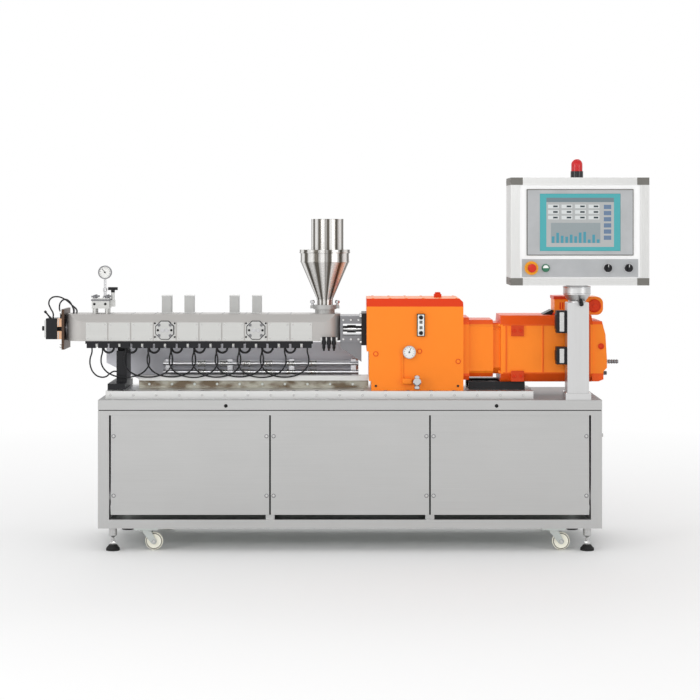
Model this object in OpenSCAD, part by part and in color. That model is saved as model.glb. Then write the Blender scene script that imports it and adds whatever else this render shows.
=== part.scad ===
// Laboratory twin-screw extruder on a sheet-metal bench with a swivelling operator panel.
// Millimetres, +Z up, floor at z = 0. X runs from the die end to the motor end.

/* [Bench] */
// Length of the bench
bench_l = 2270; // [2250:10:2400]
// Distance from the machine centreline forward to the bench front
bench_front = 280; // [270:5:320]
// Distance from the machine centreline back to the bench rear
bench_back = 370; // [300:5:450]
// Height of the frame's underside above the floor
foot_h = 105; // [103:1:130]
// Height of the frame from its underside to the table top
frame_h = 530; // [450:10:650]
// Thickness of the folded table top
top_h = 48; // [30:1:70]
// Height of the shadow joint under the table top
top_joint_h = 4; // [2:0.5:8]
// Set-back of the shadow joint under the table top
top_joint_d = 6; // [3:1:12]
// Width of the corner posts
post_w = 50; // [40:1:60]
// Height of the bottom rails
bottom_rail_h = 40; // [25:1:60]
// Height of the top rails
top_rail_h = 20; // [10:1:40]
// Thickness of the folded cladding panels
panel_t = 15; // [8:1:25]
// Set-back of the cladding from the frame's face
panel_inset = 6; // [2:1:15]
// Joint between neighbouring cladding panels
panel_gap = 8; // [4:1:16]
// Opening left under the cladding
panel_lift = 21; // [8:1:60]
// Width of the uprights behind the panel joints
mullion_w = 40; // [25:1:60]
// Radius of the lifting holes in the front of the table top
lift_hole_r = 8.5; // [5:0.5:12]
// Height of the lifting holes above the frame
lift_hole_rise = 22; // [14:1:34]
// Depth of the lifting holes
lift_hole_depth = 12; // [6:1:20]

/* [Feet and casters] */
// Distance of the feet from the bench ends
foot_end_inset = 62; // [50:1:80]
// Distance of feet and casters from the bench front and rear
foot_side_inset = 45; // [43:1:60]
// Radius of a foot pad
foot_pad_r = 31; // [25:1:40]
// Height of a foot pad
foot_pad_h = 25; // [15:1:35]
// Radius of the foot's threaded stem
foot_stem_r = 6; // [5:0.5:10]
// Radius of the foot's sleeve under the frame
foot_sleeve_r = 18; // [14:1:24]
// Length of the foot's sleeve
foot_sleeve_h = 47; // [30:1:55]
// Distance of the casters from the bench ends
caster_end_inset = 215; // [190:5:300]
// Length of a caster plate
caster_plate_l = 108; // [90:1:120]
// Width of a caster plate
caster_plate_w = 84; // [70:1:86]
// Thickness of a caster plate
caster_plate_t = 8; // [5:0.5:8]
// Radius of a caster wheel
wheel_r = 40; // [32:1:40]
// Width of a caster wheel's tread
wheel_w = 22; // [16:1:26]
// Trail of the wheel axle behind the swivel axis
caster_trail = 34; // [20:1:45]
// Height of the wheels above the floor while the feet carry the load
wheel_lift = 3; // [2:0.5:5]
// Radius of the wheel axle
axle_r = 5; // [4:0.5:7]
// Radius of a fork leg's eye
fork_eye_r = 13; // [10:0.5:16]
// Radius of a wheel's hub
wheel_hub_r = 12; // [9:0.5:13]
// Rounding of a wheel's tread
tread_round = 5; // [2:0.5:6]
// Height of the taper under a foot's sleeve
foot_taper_h = 10; // [4:1:20]

/* [Machine bed] */
// Reach of the machine bed to the left of the bench centre
bed_left = 1109; // [1090:1:1130]
// Reach of the machine bed to the right of the bench centre
bed_right = 832; // [800:1:1000]
// Half width of the machine bed
bed_half_w = 220; // [200:5:240]
// Thickness of the machine bed
bed_t = 35; // [20:1:40]
// Height of the cable duct on the bed
duct_h = 57; // [45:1:70]
// Height of the duct's front lip
duct_lip_h = 23; // [15:1:30]
// Width of the cable duct
duct_w = 60; // [40:1:80]
// Distance of the duct's front from the machine centreline
duct_front = 60; // [50:1:64]
// Reach of the duct to the left of the bench centre
duct_left = 978; // [940:1:1000]
// Reach of the duct to the right of the bench centre
duct_right = 85; // [60:1:92]
// Sheet of the duct
duct_sheet = 3; // [2:0.5:5]
// Depth of the slot under the duct's lip
duct_slot = 20; // [10:1:26]
// Reach of the rear shield to the left of the bench centre
shield_left = 1155; // [1130:1:1165]
// Reach of the rear shield to the right of the bench centre
shield_right = 40; // [20:1:60]
// Distance of the rear shield behind the machine centreline
shield_back = 150; // [140:1:180]
// Sheet of the rear shield
shield_t = 4; // [2:0.5:6]
// Gap between the rear shield and the hood
shield_gap = 20; // [10:1:30]
// Width of the shield's cut-off corner
shield_cut_w = 200; // [150:1:220]
// Height of the shield's cut-off corner
shield_cut_h = 100; // [60:1:120]
// Radius of a cooling manifold
manifold_r = 13; // [10:0.5:16]
// Distance of the manifolds behind the machine centreline
manifold_back = 100; // [95:1:110]
// Reach of the manifolds to the left of the bench centre
manifold_left = 880; // [860:1:900]
// Rise of the lower manifold above the bed
manifold_low = 60; // [50:1:64]
// Rise of the upper manifold above the bed
manifold_high = 101; // [98:1:110]
// Width of a manifold clamp
manifold_clamp_w = 24; // [16:1:40]
// Distance of the barrel support's right face to the left of the bench centre
support_left = 1030; // [1025:1:1034]
// Width of the barrel support's post
support_w = 48; // [40:1:56]
// Half depth of the barrel support's post
support_half_d = 75; // [70:1:76]
// Half depth of the barrel support's foot
support_foot_half_d = 150; // [100:5:180]
// Rise of the post's shoulder above the bed
support_rise = 172; // [150:1:178]
// Thickness of the barrel support's foot
support_foot_t = 27; // [15:1:35]
// Half depth of the barrel support's saddle
saddle_half_d = 30; // [24:1:36]

/* [Barrel and hood] */
// Height of the screw axis above the bed
axis_rise = 272; // [265:1:300]
// Radius of the barrel
barrel_r = 42; // [36:1:44]
// Radius of the barrel's section flanges
barrel_flange_r = 50; // [46:1:52]
// Length of a pair of section flanges
barrel_flange_l = 18; // [10:1:24]
// Length of one barrel zone
zone_pitch = 104.7; // [100:0.1:106]
// Reach of the first zone to the left of the bench centre
zones_left = 1218; // [1215:1:1230]
// Reach of the hood to the left of the bench centre
hood_left = 1312; // [1300:1:1320]
// Distance of the hood's right end from the bench centre
hood_right = 45; // [30:1:60]
// Half width of the hood
hood_half_w = 105; // [95:1:120]
// Drop of the hood's lower edge below the screw axis
hood_drop = 53; // [53:1:60]
// Rise of the hood's shoulder above the screw axis
hood_shoulder = 36; // [30:1:45]
// Rise of the hood's top above the screw axis
hood_rise = 70; // [65:1:80]
// Inward run of the hood's bevel
hood_bevel = 24; // [10:1:40]
// Plan radius of the hood's ends
hood_end_r = 80; // [40:1:90]
// Wall of the hood
hood_t = 3; // [2:0.5:4]
// Gap between neighbouring zone plates
zone_plate_gap = 6; // [2:1:12]
// Thickness of a zone plate
zone_plate_t = 2; // [1:0.5:4]
// Margin of a zone plate inside the hood's side
zone_plate_margin = 3; // [1:0.5:8]
// Width of an octagonal port cover
port_cover_w = 80; // [60:1:90]
// Thickness of a port cover
port_cover_t = 10; // [5:1:15]
// Drop of the port covers below the screw axis
port_cover_drop = 2; // [0:1:8]
// Width of a port stack along the barrel
stack_w = 42; // [30:1:60]
// Depth of a port stack across the barrel
stack_d = 80; // [60:1:100]
// Height of a port stack above the hood
stack_h = 84; // [60:1:110]
// Height of the heater terminal strip
terminal_h = 32; // [25:1:40]
// Depth of the heater terminal strip
terminal_d = 40; // [30:1:50]
// Height of the strip's carrying rail
terminal_rail_h = 12; // [6:1:16]
// Width of one heater terminal
terminal_w = 40; // [20:1:46]

/* [Die end] */
// Gap between the hood and the die's flange plate
die_gap = 5; // [2:1:12]
// Length of the die's nose
die_nose_l = 24; // [16:1:40]
// Radius of the die's nose
die_nose_r = 11; // [8:0.5:16]
// Radius of the melt pipe through the heater bands
die_pipe_r = 23; // [16:0.5:30]
// Length of the die body
die_body_l = 53; // [40:1:56]
// Length of the heater bands round the die
die_heater_l = 27; // [20:1:30]
// Thickness of the die's flange plate
die_plate_t = 12; // [8:1:14]
// Half height of the die body and its heaters
die_half_h = 48; // [44:1:60]
// Half height of the die's flange plate
die_plate_half_h = 93; // [80:1:100]
// Slit between the two heater bands
die_slit = 20; // [6:1:30]

/* [Vent and hopper] */
// Distance of the vent to the left of the bench centre
vent_left = 1157; // [1150:1:1165]
// Width of the vent block
vent_w = 81; // [70:1:90]
// Height of the vent block
vent_h = 47; // [35:1:60]
// Height of the vent block's feet
vent_leg_h = 24; // [15:1:30]
// Radius of the vacuum gauge
gauge_r = 31.5; // [25:0.5:34]
// Height of the gauge's centre above the vent block
gauge_rise = 120; // [110:1:140]
// Offset of the gauge from the vent block's middle
gauge_offset = 16; // [8:1:20]
// Depth of the gauge's case
gauge_d = 24; // [16:1:30]
// Radius of the gauge's stem
gauge_stem_r = 7; // [5:0.5:9]
// Radius of the bleed valve's stem
valve_r = 8; // [6:0.5:9]
// Rise of the bleed valve above the vent block
valve_rise = 26; // [20:1:34]
// Half width of the valve's T-handle
handle_half_w = 22; // [16:1:26]
// Radius of the valve's T-handle
handle_r = 7; // [5:0.5:8]
// Distance of the hopper's axis to the left of the bench centre
hopper_left = 117; // [112:1:125]
// Radius of the hopper's upper rim
funnel_r = 113; // [100:1:125]
// Radius of the hopper's neck
neck_r = 37; // [30:1:39]
// Height of the hopper's cone
cone_h = 175; // [150:1:220]
// Height of the hopper's straight rim
rim_h = 40; // [25:1:60]
// Thickness of the hopper's cover ring
cover_t = 17; // [8:1:25]
// Radius of the filling tube
tube_r = 75; // [60:1:80]
// Height of the filling tube
tube_h = 140; // [100:1:200]
// Offset of the filling tube from the hopper's axis
tube_offset = 12; // [0:1:20]
// Wall of the hopper's sheet metal
hopper_t = 3; // [2:0.5:4]
// Height of the collar under the hopper
collar_h = 20; // [12:1:30]
// Radius of the collar under the hopper
collar_r = 46; // [44:1:50]
// Height of the hopper's clamp
clamp_h = 20; // [14:1:26]
// Half span of the clamp's wings
clamp_span = 68; // [60:1:75]
// Rim of the clamp round the collar
clamp_rim = 8; // [5:0.5:12]
// Half depth of the clamp's wings
clamp_wing_d = 9; // [6:0.5:12]

/* [Drive] */
// Length of the open lantern between barrel and gearbox
lantern_l = 98; // [80:1:120]
// Thickness of the lantern's end plate
lantern_plate_t = 12; // [8:1:20]
// Half width of the lantern
lantern_half_w = 90; // [70:1:100]
// Drop of the lantern below the screw axis
lantern_drop = 60; // [50:1:70]
// Rise of the lantern above the screw axis
lantern_rise = 62; // [50:1:70]
// Height of the lantern's upper bar
lantern_top_h = 36; // [20:1:40]
// Height of the lantern's lower bar
lantern_low_h = 30; // [20:1:36]
// Depth of the catch tray at the gearbox
tray_deep_h = 90; // [60:1:95]
// Depth of the catch tray at the barrel
tray_shallow_h = 22; // [10:1:40]
// Half width of the catch tray
tray_half_w = 80; // [60:1:85]
// Radius of the screw shafts
shaft_r = 13; // [10:0.5:15]
// Distance between the screw shafts
shaft_pitch = 36; // [34:1:44]
// Drop of the screw shafts below the barrel's axis
shaft_drop = 2; // [0:1:6]
// Bare length of a shaft beside the lantern's end plate
shaft_bare_l = 20; // [8:1:24]
// Bare length of a shaft beside the gearbox
shaft_end_l = 26; // [8:1:30]
// Radius of the shaft couplings
coupling_r = 17; // [15.5:0.5:17]
// Thickness of the gearbox's mounting flange
flange_t = 23; // [15:1:30]
// Half width of the gearbox's mounting flange
flange_half_w = 110; // [95:1:120]
// Drop of the mounting flange below the screw axis
flange_drop = 72; // [65:1:85]
// Rise of the mounting flange above the screw axis
flange_rise = 75; // [68:1:85]
// Length of the gearbox
gearbox_l = 441; // [400:1:480]
// Half width of the gearbox
gearbox_half_w = 180; // [170:1:200]
// Height of the gearbox
gearbox_h = 417; // [400:1:440]
// Height of the chamfer along the gearbox's top edges
gearbox_chamfer_h = 36; // [20:1:45]
// Inward run of the gearbox's chamfer
gearbox_chamfer_w = 30; // [15:1:45]
// Cut of the gearbox's upper corner at the motor end
gearbox_corner = 16; // [8:1:24]
// Height of the gearbox's upper set-back at the barrel end
gearbox_step_h = 177; // [150:1:190]
// Height of the gearbox's lower set-back
gearbox_foot_h = 42; // [30:1:60]
// Depth of each set-back
gearbox_step = 10.5; // [6:0.5:14]
// Length of the gearbox's output flange
output_flange_l = 29; // [20:1:40]
// Length of the bell housing
bell_l = 111; // [90:1:130]
// Half height of the bell housing
bell_half = 131; // [120:1:140]
// Rim of the output flange round the bell housing
bell_rim = 12; // [8:1:16]
// Recess of the joint between bell housing and motor
bell_recess = 14; // [8:1:20]
// Chamfer along the bell housing's edges
bell_chamfer = 30; // [15:1:40]
// Chamfer of the output flange's corners
bell_rim_chamfer = 20; // [10:1:30]
// Length of the recessed joint between bell housing and motor
neck_l = 33; // [20:1:45]
// Height of the motor axis above the bed
motor_rise = 186; // [184:1:200]
// Half width of the motor
motor_half = 152; // [145:1:160]
// Length of the motor's straight body
motor_l = 420; // [380:1:430]
// Length of the motor's end cover
motor_cover_l = 67; // [55:1:75]
// Set-back of the end cover's sides
motor_cover_inset = 12; // [6:1:20]
// Chamfer along the motor's edges
motor_chamfer = 40; // [20:1:55]
// Length of a motor lug
lug_l = 58; // [40:1:70]
// Height of a motor lug
lug_h = 48; // [36:1:56]
// Rise of the upper lugs above the motor axis
lug_rise = 60; // [50:1:66]
// Drop of the lower lugs' feet below the motor axis
lug_drop = 147; // [140:1:150]
// Thickness of a motor lug
lug_t = 12; // [6:1:16]
// Distance of the lugs from the motor's front end
lug_x = 46; // [30:1:60]
// Length of the cooling blower on the motor
blower_l = 225; // [200:1:240]
// Overlap of the blower with the motor's straight body
blower_start = 166; // [150:1:190]
// Rounding of the blower's end
blower_round = 30; // [15:1:36]
// Height of the cooling blower
blower_h = 84; // [76:1:100]
// Half width of the cooling blower
blower_half_w = 70; // [50:1:90]

/* [Operator panel] */
// Distance of the panel post to the right of the bench centre
post_right = 1029; // [1015:1:1040]
// Distance of the panel post behind the bench front
post_set_back = 62; // [60:1:70]
// Width of the panel post
mast_w = 97; // [80:1:110]
// Height of the panel post above the table top
mast_h = 438; // [420:1:500]
// Width of the post's base plate
mast_base_w = 115; // [112:1:124]
// Height of the post's base plate
mast_base_h = 29; // [15:1:40]
// Height of the swivel cup
cup_h = 73; // [60:1:90]
// Radius of the swivel cup's rim
cup_r = 62; // [55:1:70]
// Radius of the swivel cup's foot
cup_foot_r = 39; // [30:1:45]
// Width of the operator panel
console_w = 620; // [600:1:700]
// Height of the operator panel
console_h = 483; // [470:1:560]
// Depth of the operator panel
console_d = 228; // [200:1:260]
// Width of the panel frame's side columns
column_w = 40; // [30:1:50]
// Height of the panel frame's upper and lower bars
bar_h = 33; // [25:1:40]
// Width of a groove in the panel frame
groove_w = 5; // [2:0.5:6]
// Depth of a groove in the panel frame
groove_d = 3; // [1:0.5:6]
// Number of grooves across the panel frame's face
face_grooves = 3; // [1:1:3]
// Number of grooves along the panel frame's depth
depth_grooves = 9; // [3:1:12]
// Width of the panel frame's corner pieces
corner_w = 54; // [50:1:70]
// Set-back of the panel's front sheet in its frame
sheet_set_back = 4; // [2:1:10]
// Width of the display bezel
bezel_w = 470; // [440:1:500]
// Height of the display bezel
bezel_h = 289; // [270:1:300]
// Rise of the bezel's lower edge above the panel's underside
bezel_rise = 138; // [125:1:145]
// Thickness of the display bezel
bezel_t = 8; // [5:1:12]
// Width of the screen
screen_w = 361; // [330:1:380]
// Height of the screen
screen_h = 257; // [230:1:265]
// Depth of the screen below the bezel's face
screen_recess = 3; // [1:0.5:4]
// Width of the control strip
strip_w = 520; // [500:1:530]
// Height of the control strip
strip_h = 80; // [70:1:84]
// Rise of the control strip's lower edge above the panel's underside
strip_rise = 38; // [36:1:42]
// Thickness of the control strip
strip_t = 3; // [2:0.5:4]
// Reach of the emergency stop in front of the control strip
estop_reach = 39; // [34:1:50]
// Thickness of the emergency stop's button
estop_head_t = 14; // [8:1:16]
// Height of the emergency stop's collar
estop_collar_h = 10; // [6:1:12]
// Radius of the emergency stop's collar
estop_collar_r = 30; // [26:1:32]
// Radius of the emergency stop's button
estop_r = 19; // [15:0.5:22]
// Travel of the emergency stop
estop_travel = 6; // [4:0.5:6]
// Radius of the start button
start_r = 13; // [10:0.5:14]
// Radius of the selector knobs
selector_r = 18; // [14:0.5:20]
// Radius of the beacon's base
beacon_base_r = 28.5; // [24:0.5:32]
// Height of the beacon's base
beacon_base_h = 31; // [20:1:40]
// Radius of the beacon's dome
beacon_r = 25.5; // [20:0.5:28]
// Height of the beacon's dome
beacon_h = 56; // [45:1:70]

/* [Clearances] */
// Gap between faces that move past each other
run_gap = 0.4; // [0.3:0.05:0.6]
// Radial clearance of a shaft in its bore
shaft_fit = 0.05; // [0.03:0.01:0.09]

/* [Hidden] */
$fn = 48;

die_reach = hood_left + die_gap + die_plate_t + die_heater_l + die_body_l + die_nose_l;
bench_x = (die_reach - (post_right + console_w / 2)) / 2;
front_reach = bench_front - post_set_back + console_d / 2 - sheet_set_back + strip_t + estop_reach;
bench_y = (front_reach - bench_back) / 2;
half_l = bench_l / 2;
frame_top = foot_h + frame_h;
table_z = frame_top + top_h;
bed_z = table_z + bed_t;
axis_z = bed_z + axis_rise;
inner_l = bench_l - 2 * post_w;
panel_w = (inner_l - 4 * panel_gap) / 3;
panel_z = foot_h + bottom_rail_h + panel_lift;
panel_top = frame_top - top_rail_h;
sides = [-1, 1];
lift_hole_x = [-559, 660];

// Foot and caster places, front row first
side_y = [-bench_front + foot_side_inset, bench_back - foot_side_inset];
caster_x = half_l - caster_end_inset;
caster_places = [[-caster_x, side_y[0]], [caster_x, side_y[0]], [-caster_x, side_y[1]], [caster_x, side_y[1]]];
caster_plate_z = foot_h - caster_plate_t;
fork_head_h = 8;
fork_head_r = 30;
fork_root = 21;
fork_head_z = caster_plate_z - run_gap - fork_head_h;
fork_leg_t = 4;
wheel_hub_l = wheel_w + 10;
fork_leg_y = wheel_hub_l / 2 + run_gap / 2;
axle_z = wheel_lift + wheel_r;

hood_top = axis_z + hood_rise;
hood_low = axis_z - hood_drop;
hood_ends = [-hood_left, -hood_right];
zone_n = 10;
function around(c, d) = [c - d, c + d];
function span(c, d) = [c + d[0], c + d[1]];
function zone_x(i) = -zones_left + (i + 0.5) * zone_pitch;

// Plain box between two corners
module block(x, y, z) {
    translate([x[0], y[0], z[0]]) cube([x[1] - x[0], y[1] - y[0], z[1] - z[0]]);
}

// Round bar along X
module bar_x(r, x, y, z) {
    translate([x[0], y, z]) rotate([0, 90, 0]) cylinder(r = r, h = x[1] - x[0]);
}

// Round bar along Y
module bar_y(r, y, x, z) {
    translate([x, y[1], z]) rotate([90, 0, 0]) cylinder(r = r, h = y[1] - y[0]);
}

// Section in the YZ plane, extruded along X
module extrude_x(x) {
    translate([x[0], 0, 0]) rotate([90, 0, 90]) linear_extrude(x[1] - x[0]) children();
}

// Moves the bench frame to the part's origin
module on_bench() {
    translate([bench_x, bench_y, 0]) children();
}

module frame_uprights() color("silver") {
    for (x = [-half_l, half_l - post_w], y = [-bench_front, bench_back - post_w])
        translate([x, y, foot_h]) cube([post_w, post_w, frame_h]);
    joint_x = panel_w / 2 + panel_gap / 2;
    seat = panel_inset + panel_t;
    for (s = sides, y = [-bench_front + seat, bench_back - seat - mullion_w])
        translate([s * joint_x - mullion_w / 2, y, foot_h + bottom_rail_h])
            cube([mullion_w, mullion_w, frame_h - bottom_rail_h - top_rail_h]);
}

// Four rails between the corner posts
module rail_ring(z, h) {
    for (y = [-bench_front, bench_back - post_w])
        translate([-half_l + post_w, y, z]) cube([inner_l, post_w, h]);
    for (x = [-half_l, half_l - post_w])
        translate([x, -bench_front + post_w, z]) cube([post_w, bench_front + bench_back - 2 * post_w, h]);
}

module frame_rails() color("silver") {
    rail_ring(foot_h, bottom_rail_h);
    rail_ring(panel_top, top_rail_h);
}

// One row of three cladding panels
module panel_row(y) {
    for (i = [-1:1])
        translate([i * (panel_w + panel_gap) - panel_w / 2, y, panel_z]) cube([panel_w, panel_t, panel_top - panel_z]);
}

module front_panels() color("lightgray") panel_row(-bench_front + panel_inset);

module back_panels() color("lightgray") panel_row(bench_back - panel_inset - panel_t);

module end_panels() color("lightgray")
    for (x = [-half_l + panel_inset, half_l - panel_inset - panel_t])
        translate([x, -bench_front + post_w, panel_z])
            cube([panel_t, bench_front + bench_back - 2 * post_w, panel_top - panel_z]);

module table_top() color("gainsboro") difference() {
    union() {
        block([-half_l, half_l], [-bench_front, bench_back], [frame_top + top_joint_h, table_z]);
        block([-half_l + top_joint_d, half_l - top_joint_d], [-bench_front + top_joint_d, bench_back - top_joint_d],
            [frame_top, table_z]);
    }
    for (x = lift_hole_x)
        bar_y(lift_hole_r, [-bench_front - 1, -bench_front + lift_hole_depth], x, frame_top + lift_hole_rise);
}

module foot_places() {
    for (x = sides * (half_l - foot_end_inset), y = side_y) translate([x, y, 0]) children();
}

module foot_stems() color("gray") foot_places() rotate_extrude() polygon([[0, foot_pad_h], [foot_stem_r, foot_pad_h],
    [foot_stem_r, foot_h - foot_sleeve_h], [foot_sleeve_r, foot_h - foot_sleeve_h + foot_taper_h], [foot_sleeve_r, foot_h],
    [0, foot_h]]);

module foot_pads() color("black") foot_places() rotate_extrude() polygon([[0, 0], [foot_pad_r, 0],
    [foot_pad_r, foot_pad_h * 0.4], [foot_pad_r * 0.6, foot_pad_h], [0, foot_pad_h]]);

module caster_plates() color("silver") for (p = caster_places)
    translate([p[0] - caster_plate_l / 2, p[1] - caster_plate_w / 2, caster_plate_z])
        cube([caster_plate_l, caster_plate_w, caster_plate_t]);

// Fork at rest, wheel trailing towards +X
module caster_fork(i) color("darkgray") translate([caster_places[i][0], caster_places[i][1], 0]) {
    translate([0, 0, fork_head_z]) cylinder(r = fork_head_r, h = fork_head_h);
    for (s = sides) translate([0, s * (fork_leg_y + fork_leg_t / 2) + fork_leg_t / 2, 0]) rotate([90, 0, 0])
        linear_extrude(fork_leg_t) {
            polygon([[-fork_root, fork_head_z + 2], [fork_root, fork_head_z + 2], [caster_trail + fork_eye_r, axle_z],
                [caster_trail, axle_z - fork_eye_r], [caster_trail - fork_eye_r, axle_z - fork_eye_r / 2]]);
            translate([caster_trail, axle_z]) circle(r = fork_eye_r);
        }
    bar_y(axle_r, [-fork_leg_y - fork_leg_t, fork_leg_y + fork_leg_t], caster_trail, axle_z);
}

module caster_wheel(i) color("ivory")
    translate([caster_places[i][0] + caster_trail, caster_places[i][1], axle_z]) rotate([90, 0, 0]) rotate_extrude()
        polygon([[axle_r + shaft_fit, -wheel_hub_l / 2], [wheel_hub_r, -wheel_hub_l / 2],
            [wheel_hub_r + 2, -wheel_w / 2], [wheel_r - tread_round, -wheel_w / 2], [wheel_r, -wheel_w / 2 + tread_round],
            [wheel_r, wheel_w / 2 - tread_round], [wheel_r - tread_round, wheel_w / 2], [wheel_hub_r + 2, wheel_w / 2],
            [wheel_hub_r, wheel_hub_l / 2], [axle_r + shaft_fit, wheel_hub_l / 2]]);

module machine_bed() color("gainsboro")
    block([-bed_left, bed_right], [-bed_half_w, bed_half_w], [table_z, bed_z]);

module cable_duct() color("lightgray") extrude_x([-duct_left, duct_right]) translate([-duct_front, bed_z]) polygon([
    [0, duct_h], [0, duct_h - duct_lip_h], [duct_sheet, duct_h - duct_lip_h], [duct_sheet, duct_h - duct_sheet],
    [duct_slot, duct_h - duct_sheet], [duct_slot, 0], [duct_w, 0], [duct_w, duct_h]]);

shield_top = hood_low - shield_gap;

module rear_shield() color("lightsteelblue") translate([0, shield_back + shield_t, 0]) rotate([90, 0, 0])
    linear_extrude(shield_t) polygon([[-shield_left + shield_cut_w, bed_z], [shield_right, bed_z],
        [shield_right, shield_top], [-shield_left, shield_top], [-shield_left, bed_z + shield_cut_h]]);

manifold_clamps = 4;
manifold_clamp_rise = manifold_r + 7;
manifold_end = shield_right;
manifold_step = (manifold_left + manifold_end - 2 * manifold_clamp_w) / (manifold_clamps - 1);

module cooling_manifolds() color("gray") {
    for (z = [manifold_low, manifold_high]) bar_x(manifold_r, [-manifold_left, manifold_end], manifold_back, bed_z + z);
    for (i = [0:manifold_clamps - 1])
        block(around(-manifold_left + manifold_clamp_w + i * manifold_step, manifold_clamp_w / 2),
            [manifold_back - manifold_r + 3, shield_back],
            [bed_z + manifold_low - manifold_clamp_rise, bed_z + manifold_high + manifold_clamp_rise]);
}

support_x = [-support_left - support_w, -support_left];

module barrel_support() color("black") difference() {
    union() {
        block([-bed_left, -support_left], around(0, support_foot_half_d), [bed_z, bed_z + support_foot_t]);
        block(support_x, around(0, support_half_d), [bed_z + support_foot_t - 1, bed_z + support_rise]);
        block(support_x, around(0, saddle_half_d), [bed_z + support_rise - 1, axis_z]);
    }
    bar_x(barrel_r, [-bed_left, 0], 0, axis_z);
}

module barrel() color("dimgray") {
    bar_x(barrel_r, [-hood_left - die_gap, -hood_right], 0, axis_z);
    for (i = [1:zone_n]) bar_x(barrel_flange_r, around(zone_x(i) - zone_pitch / 2, barrel_flange_l / 2), 0, axis_z);
}

// Outer form of the hood, shrunk by the given wall
module hood_form(wall, low) intersection() {
    extrude_x(hood_ends + [wall, -wall]) polygon([
        [-hood_half_w + wall, low], [hood_half_w - wall, low],
        [hood_half_w - wall, axis_z + hood_shoulder], [hood_half_w - hood_bevel - wall, hood_top - wall],
        [-hood_half_w + hood_bevel + wall, hood_top - wall], [-hood_half_w + wall, axis_z + hood_shoulder]]);
    translate([0, 0, low - 1]) linear_extrude(hood_top) union() {
        for (x = hood_ends + [hood_end_r, -hood_end_r], y = sides * (hood_half_w - hood_end_r))
            translate([x, y]) circle(r = hood_end_r - wall);
        translate([-hood_left + hood_end_r, -hood_half_w + wall])
            square([hood_left - hood_right - 2 * hood_end_r, 2 * (hood_half_w - wall)]);
        translate([-hood_left + wall, -hood_half_w + hood_end_r])
            square([hood_left - hood_right - 2 * wall, 2 * (hood_half_w - hood_end_r)]);
    }
}

module barrel_hood() color("silver") difference() {
    hood_form(0, hood_low);
    hood_form(hood_t, hood_low - 10);
    bar_x(barrel_r + 1, [-hood_left - 10, 0], 0, axis_z);
}

module zone_plates() color("lightgray") for (i = [0:zone_n - 1], y = [-hood_half_w - zone_plate_t, hood_half_w])
    translate([zone_x(i) - (zone_pitch - zone_plate_gap) / 2, y, hood_low + zone_plate_margin])
        cube([zone_pitch - zone_plate_gap, zone_plate_t, hood_shoulder + hood_drop - 2 * zone_plate_margin]);

port_zones = [3, 7];
stack_zones = [3, 4, 6, 7];
half_facet = 22.5;

module port_covers() color("silver") for (i = port_zones)
    translate([zone_x(i), -hood_half_w - zone_plate_t, axis_z - port_cover_drop]) rotate([90, 0, 0]) rotate(half_facet)
        cylinder(r = port_cover_w / 2 / cos(half_facet), h = port_cover_t, $fn = 8);

module port_stacks() color("lightgray") for (i = stack_zones)
    translate([zone_x(i) - stack_w / 2, -stack_d / 2, hood_top]) cube([stack_w, stack_d, stack_h]);

terminal_y = -hood_half_w + 1;
terminal_z = hood_low - terminal_h;

module heater_terminals() color("black") {
    block([-zones_left, -zones_left + zone_n * zone_pitch], [terminal_y, terminal_y + terminal_d],
        [hood_low - terminal_rail_h, hood_low]);
    for (i = [0:zone_n - 1], s = sides)
        translate([zone_x(i) + s * zone_pitch / 4 - terminal_w / 2, terminal_y, terminal_z])
            cube([terminal_w, terminal_d, terminal_h]);
}

// Free cables that hang from one heater terminal to the one after next
cable_r = 3.5;
cable_sides = 8;
cable_lanes = [6, 20, 34];
cable_route = [[0, 0], [0, -18], [-6, -45], [-4, -75], [12, -102], [40, -122], [72, -132], [105, -135],
    [138, -132], [170, -122], [198, -102], [214, -75], [216, -45], [210, -18], [210, 0]];

function cable_turn(p, i) = let (d = p[min(i + 1, len(p) - 1)] - p[max(i - 1, 0)]) d / norm(d);

// Tube swept along points of a route in the XZ plane
module cable(route) {
    n = cable_sides;
    m = len(route);
    rings = [for (i = [0:m - 1], k = [0:n - 1]) let (t = cable_turn(route, i), a = 360 * k / n)
        [route[i][0] + cable_r * cos(a) * t[1], cable_r * sin(a), route[i][1] - cable_r * cos(a) * t[0]]];
    walls = [for (i = [0:m - 2], k = [0:n - 1])
        [i * n + k, (i + 1) * n + k, (i + 1) * n + (k + 1) % n, i * n + (k + 1) % n]];
    ends = [[for (k = [0:n - 1]) k], [for (k = [n - 1:-1:0]) (m - 1) * n + k]];
    polyhedron(rings, concat(walls, ends));
}

// Leads from the die's heaters into the hood, and from the first terminal to the barrel support
die_lead_route = [[-26, die_half_h], [-26, 70], [-32, 98], [-25, 124], [-5, 136], [15, 126], [28, 104], [34, 86],
    [34, hood_rise]];
die_loop_route = [[-64, die_half_h], [-64, 70], [-76, 94], [-84, 118], [-74, 140], [-46, 148], [-10, 136], [24, 108],
    [46, 86], [46, hood_rise]];
support_lead_route = [[-114, terminal_z], [-114, 885], [-123, 850], [-120, 816], [-104, 786], [-78, 770], [-50, 771],
    [-30, 786], [-14, 795], [0, 795]];
die_lead_y = -30;
die_loop_y = -12;
support_lead_y = -70;

module heater_cables() color("black") {
    for (i = [0:zone_n - 3])
        translate([zone_x(i) + zone_pitch / 4, terminal_y + cable_lanes[i % 3], terminal_z]) cable(cable_route);
    translate([-hood_left - die_gap, die_lead_y, axis_z]) cable(die_lead_route);
    translate([-hood_left - die_gap, die_loop_y, axis_z]) cable(die_loop_route);
    translate([support_x[0], support_lead_y, 0]) cable(support_lead_route);
}

die_x = -hood_left - die_gap;
die_plate_x = die_x - die_plate_t;
die_heater_x = die_plate_x - die_heater_l;
die_body_x = die_heater_x - die_body_l;

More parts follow.
